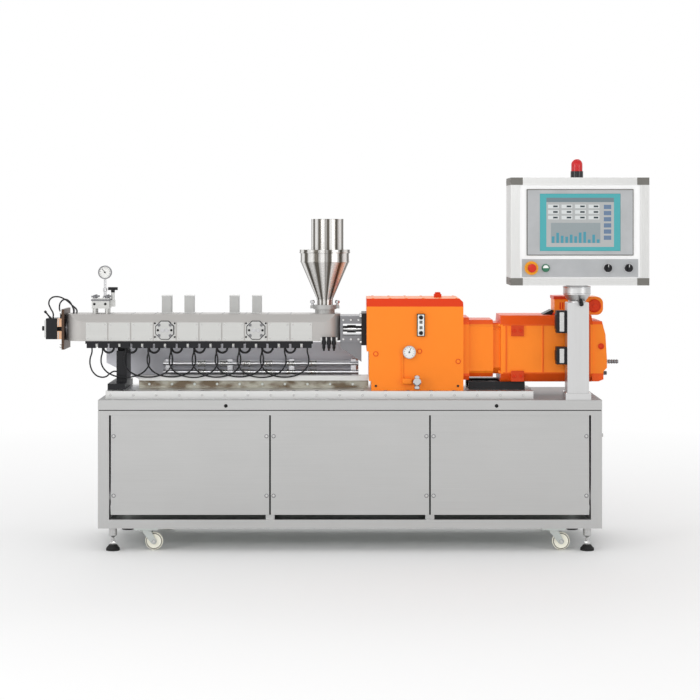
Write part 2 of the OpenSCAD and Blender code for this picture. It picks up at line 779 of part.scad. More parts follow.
module die_plate() color("silver")
    block([die_plate_x, die_x], [-die_plate_half_h, die_plate_half_h], around(axis_z, die_plate_half_h));

module die_heaters() color("peru") for (s = sides) difference() {
    block([die_heater_x, die_plate_x], [-die_half_h, die_half_h],
        span(axis_z, s < 0 ? [-die_half_h, -die_slit / 2] : [die_slit / 2, die_half_h]));
    bar_x(die_pipe_r + 1, [die_heater_x - 1, die_plate_x + 1], 0, axis_z);
}

module die_body() color("black") {
    block([die_body_x, die_heater_x], [-die_half_h, die_half_h], around(axis_z, die_half_h));
    bar_x(die_nose_r, [-die_reach, die_body_x + 1], 0, axis_z);
    bar_x(die_pipe_r, [die_heater_x - 1, die_plate_x], 0, axis_z);
}

vent_z = hood_top + vent_leg_h;
vent_top = vent_z + vent_h;
vent_half_d = 40;
vent_leg_r = 9;
vent_leg_inset = 12;
valve_offset = 12;
valve_body_h = 8;
handle_hub_h = 16;
valve_x = -vent_left + vent_w / 2 + valve_offset;
valve_top = vent_top + valve_rise;

module vent_block() color("silver") {
    block(around(-vent_left, vent_w / 2), around(0, vent_half_d), [vent_z, vent_top]);
    for (x = sides * (vent_w / 2 - vent_leg_inset), y = sides * (vent_half_d - vent_leg_inset))
        translate([x - vent_left, y, hood_top]) cylinder(r = vent_leg_r, h = vent_leg_h + 1);
    block([-vent_left + vent_w / 2 - 1, valve_x + valve_r + 2], sides * valve_offset,
        [vent_z + valve_body_h, vent_top - valve_body_h]);
    translate([valve_x, 0, vent_top - valve_body_h - 1]) cylinder(r = valve_r, h = valve_rise + valve_body_h + 1);
}

module vent_handle() color("black") {
    translate([valve_x, 0, valve_top + run_gap]) cylinder(r = valve_r + 1, h = handle_hub_h);
    bar_x(handle_r, around(valve_x, handle_half_w), 0, valve_top + handle_hub_h + 2);
}

module vacuum_gauge() color("white") translate([-vent_left + gauge_offset, 0, 0]) {
    translate([0, 0, vent_top]) cylinder(r = gauge_stem_r, h = gauge_rise - gauge_r + 3);
    bar_y(gauge_r, sides * gauge_d / 2, 0, vent_top + gauge_rise);
}

hopper_x = -hopper_left;
clamp_z = hood_top + collar_h;
neck_z = clamp_z + clamp_h;
neck_h = 25;
cone_z = neck_z + neck_h;
rim_z = cone_z + cone_h;
cover_z = rim_z + rim_h;
throat_r = neck_r - hopper_t;

module hopper_clamp() color("silver") translate([hopper_x, 0, 0]) difference() {
    union() {
        translate([0, 0, hood_top]) cylinder(r = collar_r, h = collar_h);
        translate([0, 0, clamp_z]) cylinder(r = collar_r + clamp_rim, h = clamp_h);
        block(around(0, clamp_span), clamp_wing_d * sides, [clamp_z + 3, neck_z - 3]);
    }
    translate([0, 0, hood_top - 1]) cylinder(r = throat_r, h = collar_h + clamp_h + 2);
}

module feed_funnel() color("silver") translate([hopper_x, 0, 0]) rotate_extrude() polygon([[throat_r, neck_z],
    [neck_r, neck_z], [neck_r, cone_z], [funnel_r, rim_z], [funnel_r, cover_z], [funnel_r - hopper_t, cover_z],
    [funnel_r - hopper_t, rim_z], [throat_r, cone_z]]);

module hopper_tube() color("silver") difference() {
    union() {
        translate([hopper_x, 0, cover_z]) cylinder(r = funnel_r + 4, h = cover_t);
        translate([hopper_x + tube_offset, 0, cover_z]) cylinder(r = tube_r, h = cover_t + tube_h);
    }
    translate([hopper_x + tube_offset, 0, cover_z - 1]) cylinder(r = tube_r - hopper_t, h = cover_t + tube_h + 2);
}

lantern_x = -hood_right;
flange_x = lantern_x + lantern_l;
case_x = flange_x + flange_t;
case_end = case_x + gearbox_l;
output_end = case_end + output_flange_l;
bell_end = output_end + bell_l;
motor_x = bell_end + neck_l;
motor_end = motor_x + motor_l;
motor_z = bed_z + motor_rise;

module drive_lantern() color("gray") {
    block([lantern_x, lantern_x + lantern_plate_t], lantern_half_w * sides,
        span(axis_z, [-lantern_drop, lantern_rise]));
    tray_z = axis_z - lantern_drop;
    translate([0, tray_half_w, 0]) rotate([90, 0, 0]) linear_extrude(2 * tray_half_w) polygon([
        [lantern_x, tray_z + 1], [lantern_x, tray_z - tray_shallow_h], [flange_x, tray_z - tray_deep_h],
        [flange_x, tray_z + 1]]);
    for (z = [[-lantern_drop, lantern_low_h - lantern_drop], [lantern_rise - lantern_top_h, lantern_rise]])
        block([lantern_x + lantern_plate_t - 1, flange_x], lantern_half_w * sides, span(axis_z, z));
}

module screw_shafts() color("lightgray") for (s = sides) {
    shaft_x = [lantern_x + lantern_plate_t, flange_x];
    bar_x(shaft_r, shaft_x, s * shaft_pitch / 2, axis_z - shaft_drop);
    bar_x(coupling_r, shaft_x + [shaft_bare_l, -shaft_end_l], s * shaft_pitch / 2, axis_z - shaft_drop);
}

module gearbox_flange() color("black")
    block([flange_x, case_x], flange_half_w * sides, span(axis_z, [-flange_drop, flange_rise]));

module gearbox_case() color("darkorange") difference() {
    extrude_x([case_x, case_end]) polygon([[-gearbox_half_w, bed_z], [gearbox_half_w, bed_z],
        [gearbox_half_w, bed_z + gearbox_h - gearbox_chamfer_h],
        [gearbox_half_w - gearbox_chamfer_w, bed_z + gearbox_h],
        [-gearbox_half_w + gearbox_chamfer_w, bed_z + gearbox_h],
        [-gearbox_half_w, bed_z + gearbox_h - gearbox_chamfer_h]]);
    wide = (gearbox_half_w + 1) * sides;
    block([case_x - 1, case_x + gearbox_step], wide, [bed_z - 1, bed_z + gearbox_step_h]);
    block([case_x - 1, case_x + 2 * gearbox_step], wide, [bed_z - 1, bed_z + gearbox_foot_h]);
    translate([case_end, wide[1], bed_z + gearbox_h]) rotate([90, 0, 0]) linear_extrude(2 * wide[1])
        polygon([[-gearbox_corner, 1], [-gearbox_corner, 0], [0, -gearbox_corner], [1, -gearbox_corner], [1, 1]]);
}

// Places on the gearbox's front, from its lower corner at the barrel end
level_gauge_at = [247, 297.5];
level_gauge_half = [18, 51.5];
level_gauge_t = 12;
oil_dial_at = [194, 175];
oil_dial_r = 30;
oil_dial_t = 20;
drain_at = [228, 42];
drain_r = 16;
drain_l = 60;
drain_body_r = 18;
drain_body_half_h = 28;
drain_body_out = 46;
breather_x = 332;
breather_r = 17;
breather_h = 24;

module gearbox_fittings() color("dimgray") translate([case_x, -gearbox_half_w, bed_z]) {
    block(around(level_gauge_at[0], level_gauge_half[0]), [-level_gauge_t, 0],
        around(level_gauge_at[1], level_gauge_half[1]));
    bar_y(oil_dial_r, [-oil_dial_t, 0], oil_dial_at[0], oil_dial_at[1]);
    bar_y(drain_r, [-drain_l, 0], drain_at[0], drain_at[1]);
    translate([drain_at[0], -drain_body_out, drain_at[1] - drain_body_half_h])
        cylinder(r = drain_body_r, h = 2 * drain_body_half_h);
    translate([breather_x, gearbox_half_w, gearbox_h]) cylinder(r = breather_r, h = breather_h);
}

// Square section with chamfered corners about the motor axis
module chamfered_square(half, chamfer) {
    polygon([for (q = [0:3], s = sides) let (u = [half, s * (half - chamfer)])
        [u[0] * cos(90 * q) - u[1] * sin(90 * q), motor_z + u[0] * sin(90 * q) + u[1] * cos(90 * q)]]);
}

module bell_housing() color("darkorange") {
    extrude_x([case_end, output_end]) chamfered_square(bell_half + bell_rim, bell_rim_chamfer);
    extrude_x([output_end - 1, bell_end]) chamfered_square(bell_half, bell_chamfer);
    extrude_x([bell_end - 1, motor_x]) chamfered_square(bell_half - bell_recess, bell_chamfer);
}

rail_half_gauge = 95;
rail_w = 60;
rail_end = 30;

module motor_rails() color("black") for (y = sides * rail_half_gauge)
    block([output_end, bed_right - rail_end], around(y, rail_w / 2), [bed_z, motor_z - motor_half]);

// End cover's outline, in shares of its length and of the motor's half height
cover_outline = [[-0.02, -0.98], [0.42, -0.98], [0.76, -0.92], [0.76, -0.68], [1, -0.57], [1, -0.33], [0.9, 0.43],
    [0.66, 0.83], [-0.02, 0.84]];

module motor_body() color("darkorange") {
    extrude_x([motor_x, motor_end]) chamfered_square(motor_half, motor_chamfer);
    cover_half = motor_half - motor_cover_inset;
    translate([motor_end, cover_half, motor_z]) rotate([90, 0, 0]) linear_extrude(2 * cover_half)
        polygon([for (p = cover_outline) [p[0] * motor_cover_l, p[1] * motor_half]]);
    motor_lugs();
}

module motor_lugs() for (s = sides, z = [-lug_drop, lug_rise]) {
    outer = s * (motor_half + lug_t);
    inner = s * (motor_half - motor_chamfer);
    block(span(motor_x + lug_x, [0, lug_l]), [min(outer, inner), max(outer, inner)], span(motor_z + z, [0, lug_h]));
}

module motor_blower() color("darkorange") translate([motor_end - blower_start, 0, motor_z + motor_half]) {
    round_x = blower_l - blower_round;
    block([0, round_x], blower_half_w * sides, [0, blower_h]);
    block([round_x - 1, blower_l], blower_half_w * sides, [blower_round, blower_h - blower_round]);
    for (z = [blower_round, blower_h - blower_round]) bar_y(blower_round, blower_half_w * sides, round_x, z);
}

// Hose tails: share of the end cover's length, share of the motor's half height, length
tail_places = [[1, -0.45, 76], [0.76, -0.8, 37]];
tail_r = 11;

module water_tails() color("gray") for (t = tail_places)
    bar_x(tail_r, span(motor_end + t[0] * motor_cover_l, [0, t[2]]), 0, motor_z + t[1] * motor_half);

mast_y = -bench_front + post_set_back;
mast_top = table_z + mast_h;
cup_top = mast_top + cup_h;
pivot_h = 7;
cup_neck_h = 6;
console_z = cup_top + pivot_h;
console_x = around(post_right, console_w / 2);
console_y = around(mast_y, console_d / 2);
sheet_y = console_y[0] + sheet_set_back;
strip_y = sheet_y - strip_t;
control_z = console_z + strip_rise + strip_h / 2;
estop_x = post_right - 218;
start_x = post_right - 154;
selector_x = [post_right + 125, post_right + 218];
pocket_depth = 14;
pocket_reach = 30;
pivot_r = 50;
estop_stem_gap = 4;
start_ring_w = 4;
start_ring_h = 6;
start_reach = 10;
knob_base_h = 9;
knob_h = 21;
knob_half_t = 5;
estop_stem_r = 9;
selector_shaft_r = 6;

module panel_mast() color("silver") translate([post_right, mast_y, 0]) {
    block(mast_base_w / 2 * sides, mast_base_w / 2 * sides, [table_z, table_z + mast_base_h]);
    block(mast_w / 2 * sides, mast_w / 2 * sides, [table_z + mast_base_h - 1, mast_top]);
    rotate_extrude() polygon([[0, mast_top - 1], [cup_foot_r, mast_top - 1], [cup_foot_r, mast_top + cup_neck_h],
        [cup_r, mast_top + cup_h / 2], [cup_r, cup_top], [0, cup_top]]);
}

connector_spans = [[300, 401], [158, 236]];
connector_out = 46;
connector_half_d = 30;

module mast_connectors() color("black") for (z = connector_spans)
    block(span(post_right - mast_w / 2, [-connector_out, 0]), around(mast_y, connector_half_d), span(table_z, z));

module control_pockets(extra) {
    bar_y(estop_stem_r + extra, [strip_y - pocket_reach, sheet_y + pocket_depth], estop_x, control_z);
    bar_y(start_r + extra, [strip_y - pocket_reach, sheet_y + pocket_depth], start_x, control_z);
    for (x = selector_x) bar_y(selector_shaft_r + extra, [strip_y - pocket_reach, sheet_y + pocket_depth], x, control_z);
}

module console_housing() color("white") {
    difference() {
        block(console_x + column_w * [1, -1], [sheet_y, console_y[1] - sheet_set_back],
            span(console_z, [bar_h, console_h - bar_h]));
        control_pockets(1);
    }
    translate([post_right, mast_y, cup_top + run_gap]) cylinder(r = pivot_r, h = pivot_h - run_gap);
}

// Middles of n equal grooves between two ends
function groove_places(ends, n) = [for (k = [1:n]) ends[0] + (ends[1] - ends[0]) * k / (n + 1)];

module console_frame() color("silver") {
    column_z = span(console_z, [bar_h, console_h - bar_h]);
    for (s = sides) difference() {
        x = post_right + s * (console_w - column_w) / 2;
        block(around(x, column_w / 2), console_y, column_z);
        for (g = groove_places(around(x, column_w / 2), face_grooves), y = console_y)
            block(around(g, groove_w / 2), around(y, groove_d), column_z);
        for (g = groove_places(console_y, depth_grooves))
            block(around(post_right + s * console_w / 2, groove_d), around(g, groove_w / 2), column_z);
    }
    bar_x_ends = console_x + corner_w * [1, -1];
    for (z = [0, console_h - bar_h]) difference() {
        ends = span(console_z + z, [0, bar_h]);
        block(bar_x_ends, console_y, ends);
        for (g = groove_places(ends, face_grooves), y = console_y)
            block(bar_x_ends, around(y, groove_d), around(g, groove_w / 2));
    }
}

module console_corners() color("dimgray") for (x = console_x + [0, -corner_w], z = [0, console_h - bar_h])
    block([x, x + corner_w], console_y, span(console_z + z, [0, bar_h]));

module display_bezel() color("gray") translate([0, 0, console_z + bezel_rise]) difference() {
    block(around(post_right, bezel_w / 2), [sheet_y - bezel_t, sheet_y], [0, bezel_h]);
    block(around(post_right, screen_w / 2), [sheet_y - bezel_t - 1, sheet_y - bezel_t + screen_recess],
        [(bezel_h - screen_h) / 2, (bezel_h + screen_h) / 2]);
}

module control_strip() color("lightgray") difference() {
    union() {
        block(around(post_right, strip_w / 2), [strip_y, sheet_y], span(console_z + strip_rise, [0, strip_h]));
        bar_y(estop_collar_r, [strip_y - estop_collar_h, strip_y + 1], estop_x, control_z);
        bar_y(start_r + start_ring_w, [strip_y - start_ring_h, strip_y + 1], start_x, control_z);
    }
    control_pockets(shaft_fit);
}

module beacon() color("red") translate([post_right, mast_y, console_z + console_h]) {
    cylinder(r = beacon_base_r, h = beacon_base_h);
    translate([0, 0, beacon_base_h - 1]) cylinder(r = beacon_r, h = beacon_h - beacon_r + 1);
    translate([0, 0, beacon_base_h + beacon_h - beacon_r]) sphere(r = beacon_r);
}

module estop_button() color("red") {
    bar_y(estop_r, [-front_reach, -front_reach + estop_head_t], estop_x, control_z);
    bar_y(estop_stem_r, [-front_reach + estop_head_t - 1, strip_y - estop_stem_gap + estop_travel], estop_x, control_z);
}

module start_button() color("white") bar_y(start_r, [strip_y - start_reach, sheet_y - 1], start_x, control_z);

module selector(i) color("black") {
    bar_y(selector_r, [strip_y - knob_base_h, strip_y - run_gap], selector_x[i], control_z);
    block(around(selector_x[i], knob_half_t), [strip_y - knob_h, strip_y - knob_base_h + 1],
        around(control_z, selector_r - 1));
    bar_y(selector_shaft_r, [strip_y - 1, sheet_y + pocket_depth - 4], selector_x[i], control_z);
}

on_bench() frame_uprights();
on_bench() frame_rails();
on_bench() front_panels();
on_bench() back_panels();
on_bench() end_panels();
on_bench() table_top();
on_bench() foot_stems();
on_bench() foot_pads();
on_bench() caster_plates();
on_bench() caster_fork(0);  // caster_fork_1
on_bench() caster_fork(1);  // caster_fork_2
on_bench() caster_fork(2);  // caster_fork_3
on_bench() caster_fork(3);  // caster_fork_4
on_bench() caster_wheel(0);  // caster_wheel_1
on_bench() caster_wheel(1);  // caster_wheel_2
on_bench() caster_wheel(2);  // caster_wheel_3
on_bench() caster_wheel(3);  // caster_wheel_4
on_bench() machine_bed();
on_bench() cable_duct();
on_bench() rear_shield();
on_bench() cooling_manifolds();
on_bench() barrel_support();
on_bench() barrel();
on_bench() barrel_hood();
on_bench() zone_plates();
on_bench() port_covers();
on_bench() port_stacks();
on_bench() heater_terminals();
on_bench() heater_cables();
on_bench() die_plate();
on_bench() die_heaters();
on_bench() die_body();
on_bench() vent_block();
on_bench() vacuum_gauge();
on_bench() vent_handle();
on_bench() hopper_clamp();
on_bench() feed_funnel();
on_bench() hopper_tube();
on_bench() drive_lantern();
on_bench() screw_shafts();
on_bench() gearbox_flange();
on_bench() gearbox_case();
on_bench() gearbox_fittings();
on_bench() bell_housing();
on_bench() motor_rails();
on_bench() motor_body();
on_bench() motor_blower();
on_bench() water_tails();
on_bench() panel_mast();
on_bench() mast_connectors();
on_bench() console_housing();
on_bench() console_frame();
on_bench() console_corners();
on_bench() display_bezel();
on_bench() control_strip();
on_bench() beacon();
on_bench() estop_button();
on_bench() start_button();
on_bench() selector(0);  // selector_left
on_bench() selector(1);  // selector_right
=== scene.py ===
"""Looks of a laboratory twin-screw extruder on its bench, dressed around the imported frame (metres, +Z up)."""
import math

import bpy
from mathutils import Matrix, Vector


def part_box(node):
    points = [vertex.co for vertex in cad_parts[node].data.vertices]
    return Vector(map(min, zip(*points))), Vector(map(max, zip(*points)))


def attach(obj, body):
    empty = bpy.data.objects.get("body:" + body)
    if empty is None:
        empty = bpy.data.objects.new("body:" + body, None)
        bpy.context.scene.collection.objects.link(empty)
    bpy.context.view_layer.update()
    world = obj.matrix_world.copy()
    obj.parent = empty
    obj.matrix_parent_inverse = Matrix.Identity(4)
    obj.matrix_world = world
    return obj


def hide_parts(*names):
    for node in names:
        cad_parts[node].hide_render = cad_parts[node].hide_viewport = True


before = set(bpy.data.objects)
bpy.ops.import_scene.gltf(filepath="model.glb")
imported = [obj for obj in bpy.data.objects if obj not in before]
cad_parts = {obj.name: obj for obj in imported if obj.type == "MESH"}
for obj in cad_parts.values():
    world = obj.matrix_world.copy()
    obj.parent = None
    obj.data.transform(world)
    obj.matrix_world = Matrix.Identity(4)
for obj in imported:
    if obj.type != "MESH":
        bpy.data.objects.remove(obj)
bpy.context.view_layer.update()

ORIGIN = (0, 0, 0)
X, Y, Z = range(3)
BENCH_X = 0.047
table_low, table_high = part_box("table_top")

# Photograph's camera: level, far in front, shifted down to take in the feet
CAMERA_DISTANCE = 8.0
CAMERA_HEIGHT = 1.476
LENS_MM = 91.4
SENSOR_MM = 36
SHIFT_Y = -0.18
FAR_CLIP = 100


# Shader maths

class Signal:
    """A shader socket that takes part in Python expressions."""

    def __init__(self, finish, socket):
        self.finish = finish
        self.socket = socket

    def maths(self, operation, *terms):
        inputs = dict(enumerate(terms))
        return self.finish.node("Math", {"operation": operation}, inputs)

    def __add__(self, other):
        return self.maths("ADD", self, other)

    def __sub__(self, other):
        return self.maths("SUBTRACT", self, other)

    def __rsub__(self, other):
        return self.maths("SUBTRACT", other, self)

    def __mul__(self, other):
        return self.maths("MULTIPLY", self, other)

    def __truediv__(self, other):
        return self.maths("DIVIDE", self, other)

    def __gt__(self, other):
        return self.maths("GREATER_THAN", self, other)

    def __lt__(self, other):
        return self.maths("LESS_THAN", self, other)

    def fraction(self):
        return self.maths("FRACT", self)

    def between(self, low, high):
        return (self > low) * (self < high)


def shade(tone, factor):
    return tuple(channel * factor for channel in tone)


class Finish:
    """One procedural material, built node by node on a Principled shader."""

    def __init__(self, name, colour=(0.8, 0.8, 0.8), roughness=0.5, metallic=0.0, **constants):
        self.material = bpy.data.materials.new(name)
        self.material.use_nodes = True
        self.tree = self.material.node_tree
        self.shader = self.tree.nodes["Principled BSDF"]
        self.shader.inputs["Base Color"].default_value = (*colour, 1)
        self.shader.inputs["Roughness"].default_value = roughness
        self.shader.inputs["Metallic"].default_value = metallic
        for key, value in constants.items():
            self.shader.inputs[key.replace("_", " ")].default_value = value

    def feed(self, socket, value):
        if isinstance(value, Signal):
            self.tree.links.new(value.socket, socket)
        else:
            socket.default_value = value

    def node(self, kind, settings=None, inputs=None, output=0):
        made = self.tree.nodes.new("ShaderNode" + kind)
        for key, value in (settings or {}).items():
            setattr(made, key, value)
        for key, value in (inputs or {}).items():
            self.feed(made.inputs[key], value)
        return Signal(self, made.outputs[output])

    def place(self, scale=(1, 1, 1)):
        spot = self.node("TexCoord", output="Object")
        return self.node("Mapping", None, {"Vector": spot, "Scale": scale})

    def axes(self):
        parts = self.node("SeparateXYZ", None, {"Vector": self.place()})
        node = parts.socket.node
        return [Signal(self, node.outputs[axis]) for axis in "XYZ"]

    def noise(self, scale, stretch=(1, 1, 1), detail=3.0):
        return self.node("TexNoise", None, {"Vector": self.place(stretch), "Scale": scale, "Detail": detail})

    def line_noise(self, along):
        return self.node("TexNoise", {"noise_dimensions": "1D"}, {"W": along, "Scale": 1.0})

    def ramp(self, value, low, high):
        return self.node("MapRange", None, {"Value": value, "To Min": low, "To Max": high})

    def stretch(self, value, low, high):
        return self.node("MapRange", None, {"Value": value, "From Min": low, "From Max": high})

    def mix(self, mask, first, second):
        ends = [(*tone, 1) if isinstance(tone, tuple) else tone for tone in (first, second)]
        return self.node("Mix", {"data_type": "RGBA"}, {0: mask, 6: ends[0], 7: ends[1]}, output=2)

    def plain(self):
        """Base colour as it stands, to be mixed further."""
        return Signal(self, self.shader.inputs["Base Color"].links[0].from_socket)

    def colour(self, value):
        self.feed(self.shader.inputs["Base Color"], value)

    def tones(self, mask, tone, darkest, lightest):
        """Base colour that drifts between two shades of one tone."""
        self.colour(self.mix(mask, shade(tone, darkest), shade(tone, lightest)))

    def dullness(self, mask, rough, below, above):
        """Roughness that drifts about one value."""
        self.feed(self.shader.inputs["Roughness"], self.ramp(mask, rough - below, rough + above))

    def bump(self, height, strength, distance):
        normal = self.node("Bump", None, {"Strength": strength, "Distance": distance, "Height": height})
        self.feed(self.shader.inputs["Normal"], normal)


ALONG_X = (3.0, 700.0, 700.0)
ALONG_Z = (700.0, 700.0, 3.0)
SPANGLE = (60.0, 60.0, 60.0)
SCALE_MARKS = (40.0, 40.0, 40.0)
SMEARS = (8.0, 8.0, 8.0)
LINE_SHARE = 0.6
PATCH_SCALE = 2.3
# Painted reflections on turned steel: number of streaks round the axis, their drift and the drift's scale
REFLECTION_STREAKS = 12
REFLECTION_STREAK_DRIFT = 5.0
REFLECTION_STREAK_SCALE = 3.0
PAINT_DRIFT_SCALE = 4.0
PAINT_GLOSS_SCALE = 35.0
PEEL_SCALE = 420.0
PLASTIC_DRIFT_SCALE = 14.0


def brushed(name, tone, grain, rough=0.34, metallic=1.0):
    """Brushed sheet steel: fine drawn lines along the grain, plus slow patches."""
    finish = Finish(name, tone, rough, metallic)
    lines = finish.noise(1.0, grain, detail=4.0)
    patches = finish.noise(PATCH_SCALE)
    blend = lines * LINE_SHARE + patches * (1 - LINE_SHARE)
    finish.tones(blend, tone, darkest=0.86, lightest=1.12)
    finish.dullness(lines, rough, below=0.1, above=0.12)
    finish.bump(lines, strength=0.12, distance=0.0004)
    return finish


def reflection_streaked(name, dark, bright, axis_x, rough=0.26, metallic=0.65):
    """Polished rolled sheet with painted reflections: dark and bright streaks that run down a turned form about
    an upright axis.
    """
    finish = Finish(name, bright, rough, metallic)
    across, depth, _ = finish.axes()
    angle = across.maths("ARCTAN2", depth, across - axis_x)
    drift = finish.line_noise(angle * REFLECTION_STREAK_SCALE)
    reflection_wave = angle.maths("SINE", angle * REFLECTION_STREAKS + drift * REFLECTION_STREAK_DRIFT)
    # Painted reflection: the colour swings between the dark and bright streak tones by angle round the axis
    finish.colour(finish.mix(finish.stretch(reflection_wave, low=-0.7, high=0.5), dark, bright))
    finish.dullness(finish.noise(1.0, ALONG_Z, detail=4.0), rough, below=0.06, above=0.08)
    return finish


def painted(name, tone, rough=0.35, peel=0.05, wear=0.9, shine=0.5):
    """Sprayed paint: faint orange peel and slow drift of tone."""
    finish = Finish(name, tone, rough, Specular_IOR_Level=shine)
    finish.tones(finish.noise(PAINT_DRIFT_SCALE), tone, darkest=wear, lightest=1.0)
    finish.dullness(finish.noise(PAINT_GLOSS_SCALE), rough, below=0.07, above=0.1)
    finish.bump(finish.noise(PEEL_SCALE), strength=peel, distance=0.0005)
    return finish


def moulded(name, tone, rough=0.5, grain=900.0, shine=0.5):
    """Moulded plastic or rubber with a fine grain."""
    finish = Finish(name, tone, rough, Specular_IOR_Level=shine)
    texture = finish.noise(grain)
    finish.tones(finish.noise(PLASTIC_DRIFT_SCALE), tone, darkest=0.82, lightest=1.1)
    finish.dullness(texture, rough, below=0.08, above=0.12)
    finish.bump(texture, strength=0.1, distance=0.0003)
    return finish


STEEL = (0.51, 0.51, 0.505)
TABLE_TOP_PAINTED_SHADE = (0.27, 0.27, 0.27)
ORANGE = (1.0, 0.25, 0.016)
# Red-orange of small painted parts, also used as the painted shade on the gearbox's chamfer
RED_ORANGE = (0.74, 0.045, 0.004)
SHOULDER_PAINTED_SHADE = (0.84, 0.10, 0.008)
PAD_PAINTED_SHADE = (0.60, 0.05, 0.006)
BLACK = (0.014, 0.014, 0.016)
WHITE = (0.88, 0.89, 0.87)
GREY = (0.42, 0.43, 0.44)
GREEN = (0.012, 0.16, 0.075)
RED = (0.56, 0.006, 0.010)
LENS_RED = (0.80, 0.04, 0.03)
# Painted reflections of the hopper: dark and bright streak tones, around this upright axis
HOPPER_DARK_REFLECTION = (0.09, 0.08, 0.065)
HOPPER_BRIGHT_REFLECTION = (0.74, 0.73, 0.71)
HOPPER_X = -0.070
MATT = 0.22

sheet_steel = brushed("brushed_sheet_steel", STEEL, ALONG_X)
post_steel = brushed("brushed_post_steel", STEEL, ALONG_Z)
mast_steel = brushed("pale_mast_steel", (0.60, 0.60, 0.60), ALONG_Z, rough=0.4)
plate_steel = brushed("zone_plate_steel", (0.54, 0.54, 0.525), ALONG_X, rough=0.38)
cover_steel = brushed("port_cover_steel", (0.50, 0.50, 0.49), ALONG_X, rough=0.4)
hood_steel = brushed("hood_steel", (0.44, 0.425, 0.41), ALONG_X, rough=0.5, metallic=0.4)
satin_steel = brushed("satin_steel", (0.42, 0.42, 0.41), ALONG_Z, rough=0.45, metallic=0.5)
bed_steel = brushed("ground_bed_steel", (0.70, 0.70, 0.69), ALONG_X, rough=0.32)
bright_steel = brushed("bright_steel", (0.62, 0.62, 0.61), ALONG_X, rough=0.24)
polished_steel_painted_reflections = reflection_streaked("polished_hopper_steel_painted_reflections", HOPPER_DARK_REFLECTION, HOPPER_BRIGHT_REFLECTION, HOPPER_X)
dark_steel = brushed("machined_dark_steel", (0.22, 0.22, 0.23), ALONG_X, rough=0.4)
tinted_steel = brushed("heat_tinted_steel", (0.085, 0.055, 0.040), ALONG_Z, rough=0.42)
pipe_steel = brushed("manifold_steel", (0.66, 0.66, 0.68), ALONG_X, rough=0.3)
zinc = brushed("zinc_plate", (0.52, 0.55, 0.53), SPANGLE, rough=0.38)
aluminium = brushed("anodised_aluminium", (0.68, 0.68, 0.67), ALONG_Z, rough=0.36)
copper = brushed("heat_tinted_copper", (0.66, 0.40, 0.25), SCALE_MARKS, rough=0.33)
chrome = brushed("chrome", (0.60, 0.60, 0.61), SMEARS, rough=0.16)
orange_paint = painted("orange_machine_paint", ORANGE, rough=0.34, shine=MATT)
red_orange_paint = painted("red_orange_paint", RED_ORANGE, rough=0.36, shine=MATT)
rib_paint = painted("rib_orange_paint", (0.86, 0.13, 0.010), rough=0.36, shine=MATT)
black_paint = painted("black_machine_paint", BLACK, rough=0.4, shine=MATT)
white_paint = painted("white_panel_paint", (0.90, 0.90, 0.90), rough=0.42, peel=0.03, wear=0.97)
shield_paint = painted("pale_lilac_sheet", (0.88, 0.88, 0.94), rough=0.4, peel=0.03)
black_plastic = moulded("black_plastic", BLACK, shine=MATT)
grey_plastic = moulded("grey_plastic", GREY)
dark_plastic = moulded("dark_grey_plastic", (0.17, 0.165, 0.15), shine=MATT)
pale_plastic = moulded("pale_grey_plastic", (0.52, 0.52, 0.50), rough=0.4)
white_plastic = moulded("white_plastic", WHITE, rough=0.35)
cream_plastic = moulded("cream_wheel_plastic", (0.90, 0.88, 0.76), rough=0.4)
yellow_plastic = moulded("yellow_plastic", (0.88, 0.36, 0.02), rough=0.4, shine=MATT)
green_plastic = moulded("green_plastic", GREEN, rough=0.35)
red_plastic = moulded("red_plastic", (0.62, 0.03, 0.015), rough=0.3, shine=MATT)
rubber = moulded("black_rubber", (0.018, 0.018, 0.018), rough=0.65, grain=500.0, shine=MATT)
cable_rubber = moulded("cable_rubber", (0.018, 0.018, 0.020), rough=0.45, grain=300.0, shine=MATT)
dial_white = moulded("dial_white", (0.80, 0.80, 0.78), rough=0.3)


# Modelling

TURN = {"+X": (0, 90, 0), "-X": (0, -90, 0), "+Y": (-90, 0, 0), "-Y": (90, 0, 0), "+Z": (0, 0, 0),
        "-Z": (180, 0, 0)}
BOTH_SIDES = ((-1, "-Y"), (1, "+Y"))
SOFT_ANGLE = math.radians(30)
TURNED_SMOOTH = math.radians(35)
RING_SMOOTH = math.radians(40)
RING_SIDES = 10
RIM_STRETCH = 1.2
EDGE = 0.0005
EDGE_LIMIT = 0.45
MERGE = 1e-6


def both(value):
    return (-value, value)


def row(start, pitch, count):
    """Evenly spaced places along one axis."""
    return [start + pitch * index for index in range(count)]


def middle(node, axis):
    """Centre of a node of the frame along one axis."""
    low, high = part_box(node)
    return (low[axis] + high[axis]) / 2


def inset(node, axis, distance):
    """Two places at one distance inside both ends of a node along one axis."""
    low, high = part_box(node)
    return (low[axis] + distance, high[axis] - distance)


def moved(point, x=0.0, y=0.0, z=0.0):
    return (point[0] + x, point[1] + y, point[2] + z)


def grid(base, x=(0,), y=(0,), z=(0,)):
    """Places at every mix of the offsets along three axes from a base point."""
    return [moved(base, dx, dy, dz) for dx in x for dy in y for dz in z]


def around(low, high, box):
    """Corners of a block, by a pair of offsets from two points."""
    return moved(low, *box[0]), moved(high, *box[1])


def clear_selection():
    bpy.ops.object.select_all(action="DESELECT")


def pick(*pieces):
    clear_selection()
    for piece in pieces:
        piece.select_set(True)
    bpy.context.view_layer.objects.active = pieces[0]


def start_editing():
    bpy.ops.object.mode_set(mode="EDIT")
    bpy.ops.mesh.select_all(action="SELECT")


def end_editing():
    bpy.ops.object.mode_set(mode="OBJECT")


def apply_modifier(piece, kind, **settings):
    pick(piece)
    modifier = piece.modifiers.new(kind, kind)
    for key, value in settings.items():
        setattr(modifier, key, value)
    bpy.ops.object.modifier_apply(modifier=modifier.name)


